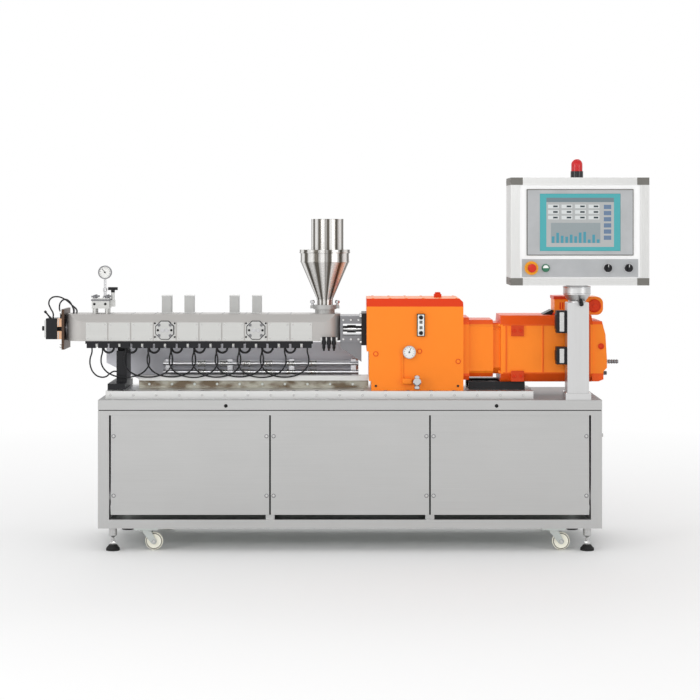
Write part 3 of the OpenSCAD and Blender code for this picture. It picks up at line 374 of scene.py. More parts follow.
def soften(piece, width, segments=2):
    apply_modifier(piece, "BEVEL", width=width, segments=segments, limit_method="ANGLE",
                   angle_limit=SOFT_ANGLE)


def seat(piece, place, axis="+Z"):
    """Turns a piece made along +Z to its axis, moves it to its place and puts both into the mesh."""
    pick(piece)
    piece.rotation_euler = [math.radians(angle) for angle in TURN[axis]]
    piece.location = place
    bpy.ops.object.transform_apply(location=True, rotation=True, scale=True)
    return piece


def turned(profile, place, axis="+Z", sides=40, bored=False):
    """Turned form: a circle pulled along its axis through (radius, height) rings, filled unless bored."""
    clear_selection()
    first_radius, first_height = profile[0]
    fill = "NOTHING" if bored else "NGON"
    bpy.ops.mesh.primitive_circle_add(vertices=sides, radius=first_radius, fill_type=fill,
                                      location=(0, 0, first_height))
    piece = bpy.context.object
    bpy.ops.object.transform_apply(location=True, rotation=True, scale=True)
    start_editing()
    for (radius, height), (next_radius, next_height) in zip(profile, profile[1:]):
        bpy.ops.mesh.extrude_region_move(TRANSFORM_OT_translate={"value": (0, 0, next_height - height)})
        factor = next_radius / radius
        bpy.ops.transform.resize(value=(factor, factor, 1))
    bpy.ops.mesh.select_all(action="SELECT")
    bpy.ops.mesh.remove_doubles(threshold=MERGE)
    bpy.ops.mesh.normals_make_consistent(inside=False)
    end_editing()
    bpy.ops.object.shade_smooth_by_angle(angle=TURNED_SMOOTH)
    return seat(piece, place, axis)


def slab(low, high, edge=0.002, segments=2):
    """Block between two corners with softened edges."""
    clear_selection()
    low, high = Vector(low), Vector(high)
    bpy.ops.mesh.primitive_cube_add(size=1, location=(low + high) / 2)
    piece = bpy.context.object
    piece.scale = high - low
    bpy.ops.object.transform_apply(location=True, rotation=True, scale=True)
    soften(piece, min(edge, min(high - low) * EDGE_LIMIT), segments)
    return piece


def block(base, box, edge=0.002, segments=2):
    """Softened block, by a pair of offsets from a base point."""
    return slab(*around(base, base, box), edge, segments)


def torus(radius, thickness, segments):
    clear_selection()
    bpy.ops.mesh.primitive_torus_add(major_radius=radius, minor_radius=thickness, major_segments=segments,
                                     minor_segments=RING_SIDES)
    return bpy.context.object


def rim(radius, thickness, place):
    """Rolled rim of a sheet edge, a little higher than it is thick."""
    piece = torus(radius, thickness, segments=64)
    start_editing()
    bpy.ops.transform.resize(value=(1, 1, RIM_STRETCH))
    end_editing()
    bpy.ops.object.shade_smooth_by_angle(angle=RING_SMOOTH)
    return seat(piece, place)


def half_ring(radius, thickness, place):
    """Lower half of a ring in the XZ plane."""
    piece = seat(torus(radius, thickness, segments=36), ORIGIN, "-Y")
    start_editing()
    bpy.ops.mesh.bisect(plane_co=ORIGIN, plane_no=(0, 0, 1), use_fill=True, clear_outer=True)
    end_editing()
    bpy.ops.object.shade_smooth_by_angle(angle=RING_SMOOTH)
    return seat(piece, place)


def turn_about(piece, centre, axis, degrees):
    """Turns a piece's mesh about a line through a point."""
    spot = Matrix.Translation(centre)
    piece.data.transform(spot @ Matrix.Rotation(math.radians(degrees), 4, axis) @ spot.inverted())
    return piece


def copies(piece, shifts):
    """Copies a piece by each shift, every copy with its own mesh, and joins them all."""
    made = []
    for shift in shifts:
        copy = piece.copy()
        copy.data = piece.data.copy()
        copy.data.transform(Matrix.Translation(shift))
        bpy.context.collection.objects.link(copy)
        made.append(copy)
    bpy.data.objects.remove(piece)
    return joined(made)


def joined(pieces):
    pick(*pieces)
    if len(pieces) > 1:
        bpy.ops.object.join()
    return bpy.context.object


def dress(piece, name, finish, body="bench"):
    """Names a piece, gives it its finish and slot, and lets it ride on its body."""
    piece.name = name
    piece.data.name = name
    piece.data.materials.append(finish.material)
    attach(piece, body)
    return piece


def studs(name, profile, axis, places, finish, body="bench", sides=20):
    """Equal turned pieces at several places, as one piece."""
    return dress(copies(turned(profile, ORIGIN, axis, sides), places), name, finish, body)


def blocks(name, box, places, finish, body="bench", edge=0.002):
    """Equal softened blocks, by a pair of offsets from each place, as one piece."""
    return dress(copies(slab(*box, edge), places), name, finish, body)


def strips(name, boxes, finish, body="bench", edge=0.001):
    """Softened strips between pairs of corners, as one piece."""
    dress(joined([slab(low, high, edge) for low, high in boxes]), name, finish, body)


def bolts(name, size, axis, places, finish=bright_steel, body="bench"):
    """Cap screws with sockets, of one size, which is a head's radius and height."""
    radius, height = size
    head = [(radius, 0), (radius, height * 0.75), (radius * 0.86, height)]
    socket = [(radius * 0.5, height), (radius * 0.46, height * 0.45)]
    studs(name, head + socket, axis, places, finish, body, sides=12)


def paint(finish, *nodes):
    for name in nodes:
        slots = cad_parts[name].data.materials
        slots.clear()
        slots.append(finish.material)


# Camera

camera = bpy.data.objects.new("camera", bpy.data.cameras.new("camera"))
bpy.context.collection.objects.link(camera)
camera.location = (BENCH_X, table_low[1] - CAMERA_DISTANCE, CAMERA_HEIGHT)
camera.rotation_euler = (math.radians(90), 0, 0)
camera.data.lens = LENS_MM
camera.data.sensor_width = SENSOR_MM
camera.data.shift_y = SHIFT_Y
camera.data.clip_end = FAR_CLIP
bpy.context.scene.camera = camera

# Free cables, on the routes of the frame's own cable solids (millimetres in the bench frame)

PER_METRE = 1000
CABLE_RADIUS = 0.0035
ZONE_PITCH = 104.7
ZONES_LEFT = 1218
ZONE_COUNT = 10
TERMINAL_Y = -104
TERMINAL_Z = 905
CABLE_LANES = [6, 20, 34]
CABLE_START = 0.75
CABLE_SPAN = 2
CABLE_ROUTE = [(0, 0), (0, -18), (-6, -45), (-4, -75), (12, -102), (40, -122), (72, -132), (105, -135),
               (138, -132), (170, -122), (198, -102), (214, -75), (216, -45), (210, -18), (210, 0)]
DIE_LEAD_ROUTE = [(-26, 48), (-26, 70), (-32, 98), (-25, 124), (-5, 136), (15, 126), (28, 104), (34, 86),
                  (34, 70)]
DIE_LOOP_ROUTE = [(-64, 48), (-64, 70), (-76, 94), (-84, 118), (-74, 140), (-46, 148), (-10, 136), (24, 108),
                  (46, 86), (46, 70)]
SUPPORT_LEAD_ROUTE = [(-114, 905), (-114, 885), (-123, 850), (-120, 816), (-104, 786), (-78, 770), (-50, 771),
                      (-30, 786), (-14, 795), (0, 795)]
DIE_LEAD_Y = -30
DIE_LOOP_Y = -12
SUPPORT_LEAD_Y = -70
DIE_PLACE = (-1317, 990)
SUPPORT_PLACE = (-1078, 0)


def zone_x(index):
    """Middle of a barrel zone in the part's frame, or the joint after it for half a step more."""
    return BENCH_X + (-ZONES_LEFT + (index + 0.5) * ZONE_PITCH) / PER_METRE


def cable(name, route, lane, shift):
    """Rubber cable through the points of a route in a plane of constant Y."""
    points = [(BENCH_X + (x + shift[0]) / PER_METRE, lane / PER_METRE, (z + shift[1]) / PER_METRE)
              for x, z in route]
    data = bpy.data.curves.new(name, "CURVE")
    data.dimensions = "3D"
    data.bevel_depth = CABLE_RADIUS
    data.bevel_resolution = 3
    data.resolution_u = 6
    data.use_fill_caps = True
    spline = data.splines.new("BEZIER")
    spline.bezier_points.add(len(points) - 1)
    for knot, point in zip(spline.bezier_points, points):
        knot.co = point
        knot.handle_left_type = "AUTO"
        knot.handle_right_type = "AUTO"
    piece = bpy.data.objects.new(name, data)
    bpy.context.collection.objects.link(piece)
    bpy.context.view_layer.update()
    dress(piece, name, cable_rubber)
    return piece


for index in range(ZONE_COUNT - CABLE_SPAN):
    lane = TERMINAL_Y + CABLE_LANES[index % len(CABLE_LANES)]
    start = (-ZONES_LEFT + (index + CABLE_START) * ZONE_PITCH, TERMINAL_Z)
    cable(f"heater_cable_{index + 1}", CABLE_ROUTE, lane, start)
cable("die_heater_lead", DIE_LEAD_ROUTE, DIE_LEAD_Y, DIE_PLACE)
cable("die_sensor_loop", DIE_LOOP_ROUTE, DIE_LOOP_Y, DIE_PLACE)
cable("support_lead", SUPPORT_LEAD_ROUTE, SUPPORT_LEAD_Y, SUPPORT_PLACE)
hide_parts("heater_cables")

# Finishes of the frame's own pieces

CASTERS = range(1, 5)

paint(sheet_steel, "frame_rails", "front_panels", "back_panels", "end_panels")
paint(post_steel, "frame_uprights", "foot_stems")
paint(satin_steel, "port_stacks", "hopper_clamp")
paint(mast_steel, "panel_mast")
paint(hood_steel, "barrel_hood")
paint(tinted_steel, "die_plate")
paint(plate_steel, "zone_plates", "vent_block")
paint(cover_steel, "port_covers")
paint(bed_steel, "machine_bed")
paint(pipe_steel, "cooling_manifolds")
paint(bright_steel, "screw_shafts")
paint(polished_steel_painted_reflections, "feed_funnel", "hopper_tube")
paint(zinc, "caster_plates", *[f"caster_fork_{index}" for index in CASTERS])
paint(cream_plastic, *[f"caster_wheel_{index}" for index in CASTERS])
paint(dark_steel, "barrel", "drive_lantern")
paint(black_paint, "barrel_support", "gearbox_flange", "motor_rails", "die_body")
paint(black_plastic, "heater_terminals", "vent_handle", "mast_connectors", "selector_left", "selector_right")
paint(rubber, "foot_pads")
paint(copper, "die_heaters")
paint(orange_paint, "motor_blower")
paint(white_paint, "console_housing")
paint(shield_paint, "rear_shield")
paint(aluminium, "console_frame")
paint(dark_plastic, "console_corners")
paint(grey_plastic, "display_bezel", "control_strip")
paint(red_plastic, "estop_button")
paint(white_plastic, "start_button")

case_low, case_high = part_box("gearbox_case")
bell_low, bell_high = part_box("bell_housing")
motor_low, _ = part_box("motor_body")
duct_low, duct_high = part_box("cable_duct")
beacon_low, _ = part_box("beacon")
CHAMFER_HEIGHT = 0.036
MOTOR_Z = (bell_low[2] + bell_high[2]) / 2
MOTOR_FACE = motor_low[1] + 0.012
SHOULDER_FOOT = 0.112
LUG_START = motor_low[0] + 0.046
LUG_END = motor_low[0] + 0.104
DUCT_LIP = 0.023
DUCT_GREY = (0.60, 0.60, 0.59)
WIRING_BROWN = (0.13, 0.10, 0.07)
WIRING_GREY = (0.34, 0.33, 0.28)
WIRING_SCALE = 14.0
WIRING_STRETCH = (1.0, 6.0, 2.0)
LENS_FOOT = 0.031
LENS_RIBS = 60.0
RIB_SHARE = 0.35


def case_paint():
    """Orange case with painted shade: a darker red-orange band along its chamfered shoulder."""
    finish = painted("gearbox_paint", ORANGE, rough=0.34, shine=MATT)
    height = finish.axes()[2]
    # Painted shade: the chamfered band takes the darker red-orange
    band = height.between(case_high[2] - CHAMFER_HEIGHT + EDGE, case_high[2] - EDGE)
    finish.colour(finish.mix(band, finish.plain(), RED_ORANGE))
    return finish


def motor_paint():
    """Orange motor and bell housing with painted shade: darker shoulders and darker lug pads."""
    finish = painted("motor_paint", ORANGE, rough=0.34, shine=MATT)
    across, depth, height = finish.axes()
    # Painted shade on the chamfered shoulders above and below the axis
    shaded_shoulders = (height > MOTOR_Z + SHOULDER_FOOT) + (height < MOTOR_Z - SHOULDER_FOOT)
    finish.colour(finish.mix(shaded_shoulders, finish.plain(), SHOULDER_PAINTED_SHADE))
    # Painted shade in the lug pockets on the front face
    pads = across.between(LUG_START, LUG_END) * (depth < MOTOR_FACE - EDGE)
    finish.colour(finish.mix(pads, finish.plain(), PAD_PAINTED_SHADE))
    return finish


def table_steel():
    """Brushed sheet with a dull, non-metallic top that is painted darker as painted shade."""
    finish = brushed("table_sheet_steel", STEEL, ALONG_X)
    height = finish.axes()[2]
    # Painted shade: the top face takes a darker grey than the sides of the same sheet
    top = height > table_high[2] - EDGE
    finish.colour(finish.mix(top, finish.plain(), TABLE_TOP_PAINTED_SHADE))
    finish.feed(finish.shader.inputs["Metallic"], 1.0 - top)
    finish.shader.inputs["Specular IOR Level"].default_value = 0.1
    return finish


def duct_steel():
    """Pale folded lip over a recess with brown and grey wiring in it."""
    finish = brushed("cable_duct_steel", DUCT_GREY, ALONG_X, rough=0.4)
    height = finish.axes()[2]
    wiring = finish.stretch(finish.noise(WIRING_SCALE, WIRING_STRETCH), low=0.4, high=0.6)
    recess = finish.mix(wiring, WIRING_BROWN, WIRING_GREY)
    finish.colour(finish.mix(height < duct_high[2] - DUCT_LIP, finish.plain(), recess))
    return finish


def beacon_plastic():
    """Black foot under a ribbed red lens."""
    finish = Finish("beacon_plastic", RED, roughness=0.22, Specular_IOR_Level=0.35)
    height = finish.axes()[2]
    lens = height > beacon_low[2] + LENS_FOOT
    ribs = finish.node("TexWave", {"bands_direction": "X"}, {"Vector": finish.place(), "Scale": LENS_RIBS})
    finish.colour(finish.mix(lens, BLACK, finish.mix(ribs * RIB_SHARE, RED, LENS_RED)))
    finish.bump(ribs * lens, strength=0.25, distance=0.001)
    return finish


paint(case_paint(), "gearbox_case")
paint(motor_paint(), "bell_housing", "motor_body")
paint(table_steel(), "table_top")
paint(duct_steel(), "cable_duct")
paint(beacon_plastic(), "beacon")

# Bench: screws of the cladding with black strips in its gaps as painted shade, floor sheet, lock nuts, side
# hook, a black strip in the table's joint as painted shadow, lift-hole plugs

PANEL_COUNT = 3
PANEL_GAP = 0.008
PANEL_SCREW = (0.0062, 0.0035)
PANEL_SCREW_INSET = 0.012
PANEL_SCREW_HEIGHTS = (0.252, 0.520)
WASHER_PROFILE = [(0.0095, 0), (0.0095, 0.0008), (0.0088, 0.0012), (0.0070, 0.0012)]
GAP_SHADOW_INSET = 0.002


def panel_fittings(side, node, axis):
    """Screws on dark washers, and black strips in the gaps as painted shade of the bench's inside, of one row
    of cladding panels.
    """
    low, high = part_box(node)
    face = low[1] if axis == "-Y" else high[1]
    width = (high[0] - low[0] - (PANEL_COUNT - 1) * PANEL_GAP) / PANEL_COUNT
    lefts = row(low[0], width + PANEL_GAP, PANEL_COUNT)
    columns = [left + inner for left in lefts for inner in (PANEL_SCREW_INSET, width - PANEL_SCREW_INSET)]
    spots = grid((0, face, 0), x=columns, z=PANEL_SCREW_HEIGHTS)
    bolts(f"{side}_panel_screws", PANEL_SCREW, axis, spots)
    studs(f"{side}_panel_washers", WASHER_PROFILE, axis, spots, dark_steel, sides=24)
    # Painted shade: black strips set back in the gaps between panels, where the inside would show dark
    seal = ((-PANEL_GAP, low[1] + GAP_SHADOW_INSET, low[2]), (0, high[1] - GAP_SHADOW_INSET, high[2]))
    blocks(f"{side}_panel_gap_shadows", seal, grid(ORIGIN, x=lefts[1:]), rubber, edge=EDGE)


panel_fittings("front", "front_panels", "-Y")
panel_fittings("back", "back_panels", "+Y")

rail_low, rail_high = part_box("frame_rails")
FLOOR_SHEET = ((0.046, 0.046, 0.020), (-0.046, -0.046, 0.022))
sheet_box = around(rail_low, (rail_high[0], rail_high[1], rail_low[2]), FLOOR_SHEET)
blocks("bench_floor_sheet", sheet_box, [ORIGIN], zinc, edge=0.0008)

FOOT_RADIUS = 0.031
LOCK_NUT_PROFILE = [(0.013, 0.027), (0.014, 0.029), (0.014, 0.038), (0.013, 0.040)]
foot_spots = grid(ORIGIN, x=inset("foot_pads", X, FOOT_RADIUS), y=inset("foot_pads", Y, FOOT_RADIUS))
studs("foot_lock_nuts", LOCK_NUT_PROFILE, "+Z", foot_spots, bright_steel, sides=6)

HOOK_PLACE = (table_high[0] - 0.006, table_low[1] + 0.12, 0.512)
HOOK_PROFILE = [(0.007, 0), (0.007, 0.006), (0.0045, 0.007), (0.0045, 0.022), (0.0085, 0.023),
                (0.0085, 0.027)]
studs("side_hook", HOOK_PROFILE, "+X", [HOOK_PLACE], bright_steel, sides=20)

# Painted shadow: a black strip fills the shallow joint recess under the table top and stands in for its shadow
# line
JOINT_HEIGHT = 0.004
JOINT_DEPTH = 0.006
JOINT_BACK = 0.002
joint_low = rail_high[2] + EDGE
joint_high = rail_high[2] + JOINT_HEIGHT - EDGE
joint_shadow_boxes = []
for y in (table_low[1] + JOINT_BACK, table_high[1] - JOINT_BACK - JOINT_DEPTH):
    joint_shadow_boxes.append(((table_low[0] + JOINT_DEPTH, y, joint_low),
                        (table_high[0] - JOINT_DEPTH, y + JOINT_DEPTH, joint_high)))
for x in (table_low[0] + JOINT_BACK, table_high[0] - JOINT_BACK - JOINT_DEPTH):
    joint_shadow_boxes.append(((x, table_low[1] + JOINT_BACK, joint_low),
                        (x + JOINT_DEPTH, table_high[1] - JOINT_BACK, joint_high)))
strips("table_joint_painted_shadow", joint_shadow_boxes, rubber, edge=EDGE)

LIFT_PLACE = (BENCH_X, table_low[1] + 0.012, rail_high[2] + 0.022)
LIFT_HOLES = (-0.559, 0.660)
LIFT_PLUG_PROFILE = [(0.0082, 0), (0.0082, 0.004), (0.0060, 0.006)]
studs("lift_hole_plugs", LIFT_PLUG_PROFILE, "-Y", grid(LIFT_PLACE, x=LIFT_HOLES), rubber, sides=28)

# Casters: axle nuts and tread edges

FORK_LEG_Y = 0.0202
WHEEL_FACE_Y = 0.011
AXLE_NUT_PROFILE = [(0.009, 0), (0.0095, 0.001), (0.0095, 0.005), (0.008, 0.0065)]
TREAD_PROFILE = [(0.0325, 0), (0.0355, 0), (0.0355, 0.0006), (0.0340, 0.0012), (0.0325, 0.0006), (0.0325, 0)]

for index in CASTERS:
    hub = [middle(f"caster_wheel_{index}", axis) for axis in (X, Y, Z)]
    nuts = []
    treads = []
    for side, axis in BOTH_SIDES:
        nuts.append(turned(AXLE_NUT_PROFILE, moved(hub, y=side * FORK_LEG_Y), axis, sides=6))
        treads.append(turned(TREAD_PROFILE, moved(hub, y=side * WHEEL_FACE_Y), axis, sides=48, bored=True))
    dress(joined(nuts), f"caster_axle_nuts_{index}", bright_steel, f"caster_{index}")
    dress(joined(treads), f"caster_tread_edges_{index}", rubber, f"wheel_{index}")

# Machine bed: countersunk screws along both long edges, screws of the cable duct

bed_low, bed_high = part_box("machine_bed")
BED_SCREW = (0.0085, 0.0025)
BED_SCREW_SINK = 0.001
BED_SCREW_PITCH = 0.104
BED_EDGE = 0.022
BED_EDGE_SCREW = (0.006, 0.003)
bed_count = int((bed_high[0] - bed_low[0] - 2 * BED_EDGE) / BED_SCREW_PITCH) + 1
bed_columns = row(bed_low[0] + BED_EDGE, BED_SCREW_PITCH, bed_count)
bed_spots = grid((0, 0, bed_high[2] - BED_SCREW_SINK), x=bed_columns, y=inset("machine_bed", Y, BED_EDGE))
bolts("bed_screws", BED_SCREW, "+Z", bed_spots, dark_steel)
front_spots = grid((0, bed_low[1], middle("machine_bed", Z)), x=bed_columns)
bolts("bed_edge_screws", BED_EDGE_SCREW, "-Y", front_spots)

DUCT_SCREW = (0.006, 0.004)
DUCT_SPOTS = grid(moved(duct_low, y=0.02, z=0.016), x=row(0.048, pitch=0.1047, count=10))
bolts("duct_screws", DUCT_SCREW, "-Y", DUCT_SPOTS, zinc)

# Hood: plate screws, port cover fittings, seams, stack rims

hood_low, hood_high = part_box("barrel_hood")
plate_low, plate_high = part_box("zone_plates")
AXIS_Z = 0.990
ZONE_SCREW = (0.0038, 0.002)
ZONE_SCREW_SHIFT = 0.040
ZONE_SCREW_INSET = 0.009
zone_columns = [zone_x(index) + side for index in range(ZONE_COUNT) for side in both(ZONE_SCREW_SHIFT)]
zone_rows = inset("zone_plates", Z, ZONE_SCREW_INSET)
bolts("zone_screws_front", ZONE_SCREW, "-Y", grid((0, plate_low[1], 0), x=zone_columns, z=zone_rows))
bolts("zone_screws_back", ZONE_SCREW, "+Y", grid((0, plate_high[1], 0), x=zone_columns, z=zone_rows))

cover_low, cover_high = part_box("port_covers")
cover_z = middle("port_covers", Z)
COVER_ZONES = (3, 7)
COVER_SCREW = (0.007, 0.004)
COVER_SCREW_OFFSETS = (both(0.026), both(0.024))
COVER_PIN = (0.0042, 0.006)
COVER_PIN_OFFSETS = (both(0.0455), both(0.0315))
COVER_MID_SCREW = (0.0055, 0.006)
COVER_MID_OFFSETS = both(0.031)
COVER_PLUG_OFFSETS = both(0.010)
COVER_PLUG_PROFILE = [(0.009, 0), (0.009, 0.003), (0.007, 0.003), (0.007, 0.001), (0.004, 0.001),
                      (0.004, 0.0035)]
COVER_SHADOW_LAP = 0.0035
OCTAGON_TURN = 22.5


def on_covers(face, x=(0,), z=(0,)):
    """Places on both port covers, by offsets from their centres."""
    return [spot for zone in COVER_ZONES for spot in grid((zone_x(zone), face, cover_z), x, z=z)]


bolts("port_cover_screws", COVER_SCREW, "-Y", on_covers(cover_low[1], *COVER_SCREW_OFFSETS), dark_steel)
# Painted shadow: a black octagon behind each cover, a little larger than it, stands in for the shadow round the
# cover's edge
cover_shadow_radius = ((cover_high[2] - cover_low[2]) / 2 + COVER_SHADOW_LAP) / math.cos(math.radians(OCTAGON_TURN))
cover_shadow_profile = [(cover_shadow_radius, 0), (cover_shadow_radius, 0.004), (cover_shadow_radius - 0.001, 0.005)]
cover_shadow = turn_about(turned(cover_shadow_profile, ORIGIN, "-Y", sides=8), ORIGIN, "Y", OCTAGON_TURN)
dress(copies(cover_shadow, on_covers(plate_low[1])), "port_cover_painted_shadows", black_plastic)
bolts("port_cover_pins", COVER_PIN, "-Y", on_covers(plate_low[1], *COVER_PIN_OFFSETS), black_paint)
bolts("port_cover_mid_screws", COVER_MID_SCREW, "-Y", on_covers(cover_low[1], COVER_MID_OFFSETS), black_paint)
cover_plug_spots = on_covers(cover_low[1], COVER_PLUG_OFFSETS)
studs("port_cover_plugs", COVER_PLUG_PROFILE, "-Y", cover_plug_spots, chrome, sides=28)

HOOD_SEAM = ((-0.0015, -0.080, -EDGE), (0.0015, 0.080, 0.0012))
zone_joints = [zone_x(index + 0.5) for index in range(ZONE_COUNT - 1)]
blocks("hood_top_seams", HOOD_SEAM, grid((0, 0, hood_high[2]), x=zone_joints), dark_steel, edge=EDGE)

stack_low, stack_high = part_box("port_stacks")
STACK_ZONES = (3, 4, 6, 7)
STACK_CAP = ((-0.0225, -0.0015, -0.004), (0.0225, 0.0015, 0.0015))
STACK_COLLAR = ((-0.026, -0.006, 0), (0.026, 0.006, 0.005))
stack_spots = grid(ORIGIN, x=[zone_x(index) for index in STACK_ZONES])
stack_rim = []
for z, box in ((stack_high[2], STACK_CAP), (stack_low[2], STACK_COLLAR)):
    stack_rim.append(slab(*around((0, stack_low[1], z), (0, stack_high[1], z), box), edge=0.001))
dress(copies(joined(stack_rim), stack_spots), "stack_rims", bright_steel)

# Feed end: sensor plugs hung on a bracket at the hood's lower edge

PLUG_PLACE = (hood_high[0] - 0.075, hood_low[1], hood_low[2])
PLUG_BRACKET = ((-0.016, -0.004, -0.006), (0.062, 0.002, 0.018))
PLUG_SPOTS = grid(moved(PLUG_PLACE, y=-0.009, z=0.020), x=row(0, pitch=0.023, count=3))
PLUG_PROFILE = [(0.0085, 0), (0.0085, 0.016), (0.0105, 0.018), (0.0105, 0.034), (0.0075, 0.037),
                (0.0075, 0.050), (0.0045, 0.056), (0.0045, 0.064)]
blocks("plug_bracket", PLUG_BRACKET, [PLUG_PLACE], bright_steel, edge=0.0015)
studs("sensor_plugs", PLUG_PROFILE, "-Z", PLUG_SPOTS, black_plastic, sides=20)

# Heater terminals: pale spacers and stiff bridging loops

term_low, term_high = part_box("heater_terminals")
SPACER = ((-0.0045, -0.002, 0.006), (0.0045, 0.010, -0.012))
BRIDGE_RADIUS = 0.024
BRIDGE_THICKNESS = 0.005
BRIDGE_PLACE = (0, term_low[1] + 0.028, term_low[2] + 0.001)
zone_middles = [zone_x(index) for index in range(ZONE_COUNT)]
spacer_box = around((0, term_low[1], term_low[2]), (0, term_low[1], term_high[2]), SPACER)
blocks("terminal_spacers", spacer_box, grid(ORIGIN, x=zone_middles), pale_plastic, edge=0.001)
bridges = [half_ring(BRIDGE_RADIUS, BRIDGE_THICKNESS, spot) for spot in grid(BRIDGE_PLACE, x=zone_joints)]
dress(joined(bridges), "terminal_bridges", cable_rubber)

# Dials: turned case, white face, marks and needle

DIAL_FACE_SINK = 0.004
DIAL_SIDES = 56
DIAL_MARKS = 11
DIAL_SWEEP = 270
MARK_HALF_WIDTH = 0.0006
MARK_HALF_DEPTH = 0.0004
MARK_START = 0.66
MARK_END = 0.80
NEEDLE_HALF_WIDTH = 0.0009
NEEDLE_OUT = 0.0010
NEEDLE_BACK = 0.0002
NEEDLE_TAIL = 0.2


def dial_case(radius, depth):
    """Turned case whose rim stands over a recessed face."""
    wall = [(radius * 0.9, 0), (radius, 0.003), (radius, depth - 0.002)]
    lip = [(radius * 0.97, depth), (radius * 0.88, depth), (radius * 0.86, depth - 0.005)]
    return wall + lip


def dial(name, place, radius, depth, case_finish, needle_turn):
    """Round instrument that looks forward, from its back at a place."""
    studs(name + "_case", dial_case(radius, depth), "-Y", [place], case_finish,
          sides=DIAL_SIDES)
    face = moved(place, y=DIAL_FACE_SINK - depth)
    face_profile = [(radius * 0.87, 0), (radius * 0.87, 0.0008), (radius * 0.5, 0.0010)]
    studs(name + "_face", face_profile, "-Y", [moved(face, y=0.0012)], dial_white, sides=DIAL_SIDES)
    mark_box = ((-MARK_HALF_WIDTH, -MARK_HALF_DEPTH, radius * MARK_START),
                (MARK_HALF_WIDTH, MARK_HALF_DEPTH, radius * MARK_END))
    marks = []
    for step in range(DIAL_MARKS):
        turn = DIAL_SWEEP * (step / (DIAL_MARKS - 1) - 0.5)
        marks.append(turn_about(block(face, mark_box, edge=0.0002), place, "Y", turn))
    needle_box = ((-NEEDLE_HALF_WIDTH, -NEEDLE_OUT, -radius * NEEDLE_TAIL),
                  (NEEDLE_HALF_WIDTH, NEEDLE_BACK, radius * MARK_START))
    marks.append(turn_about(block(face, needle_box, edge=0.0003), place, "Y", needle_turn))
    hub_profile = [(radius * 0.12, 0), (radius * 0.12, 0.0015), (radius * 0.07, 0.002)]
    marks.append(turned(hub_profile, moved(face, y=0.0003), "-Y", sides=20))
    dress(joined(marks), name + "_marks", black_plastic)


# Vent: vacuum gauge on its stem, wing nuts, lid edge, front screws

gauge_low, gauge_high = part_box("vacuum_gauge")
GAUGE_RADIUS = 0.0315
STEM_LAP = 0.002
gauge_x = middle("vacuum_gauge", X)
gauge_z = gauge_high[2] - GAUGE_RADIUS
dial("vacuum_gauge_dial", (gauge_x, gauge_high[1], gauge_z), GAUGE_RADIUS, gauge_high[1] - gauge_low[1],
     case_finish=dark_steel, needle_turn=-40)
stem_length = gauge_z - GAUGE_RADIUS - gauge_low[2] + STEM_LAP
stem_profile = [(0.011, 0), (0.011, 0.008), (0.007, 0.010), (0.007, 0.030), (0.010, 0.031), (0.010, 0.046),
                (0.006, 0.048), (0.006, stem_length)]
stem = studs("vacuum_gauge_stem", stem_profile, "+Z", [(gauge_x, 0, gauge_low[2])], chrome, sides=24)
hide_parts("vacuum_gauge")

vent_low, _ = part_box("vent_block")
VENT_W = 0.081
VENT_TOP = 1.131
VENT_PLACE = (vent_low[0], 0, VENT_TOP)
VENT_LID = ((-0.003, -0.043, -0.012), (VENT_W + 0.003, 0.043, -0.004))
VENT_SCREW = (0.006, 0.004)
VENT_SCREW_SPOTS = grid((vent_low[0], vent_low[1], VENT_TOP - 0.026), x=(0.012, VENT_W - 0.018))
WING_HUB_PROFILE = [(0.008, 0), (0.008, 0.010), (0.005, 0.012), (0.005, 0.016)]
WING = ((-0.016, -0.002, 0.004), (0.016, 0.002, 0.012))
WING_SPOTS = grid(VENT_PLACE, x=(0.012, VENT_W - 0.012), y=both(0.028))
wing = joined([turned(WING_HUB_PROFILE, ORIGIN, sides=16), block(ORIGIN, WING, edge=0.0015)])
dress(copies(wing, WING_SPOTS), "vent_wing_nuts", dark_steel)
blocks("vent_lid_edge", VENT_LID, [VENT_PLACE], dark_steel, edge=0.0015)
bolts("vent_front_screws", VENT_SCREW, "-Y", VENT_SCREW_SPOTS, black_paint)

# Hopper: rolled rims by radius, thickness, sideways shift and height, and wing knobs of the clamp

funnel_low, funnel_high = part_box("feed_funnel")
tube_low, tube_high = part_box("hopper_tube")
hopper_x = middle("feed_funnel", X)
HOPPER_RIMS = ((0.0735, 0.0022, 0.012, tube_high[2]), (0.117, 0.0020, 0, tube_low[2] + 0.004),
               (0.113, 0.0018, 0, funnel_high[2] - 0.040), (0.037, 0.0018, 0, funnel_low[2] + 0.025))
KNOB_SPOTS = grid((hopper_x, 0, 1.096), x=both(0.058))
KNOB_PROFILE = [(0.006, 0), (0.006, 0.010), (0.011, 0.012), (0.011, 0.022), (0.008, 0.026)]
rims = [rim(radius, thickness, (hopper_x + across, 0, z)) for radius, thickness, across, z in HOPPER_RIMS]
dress(joined(rims), "hopper_rims", polished_steel_painted_reflections)
studs("hopper_clamp_knobs", KNOB_PROFILE, "+Z", KNOB_SPOTS, chrome, sides=18)

# Gearbox: level gauge, dial, drain valve, breather, ports, lid and flange screws

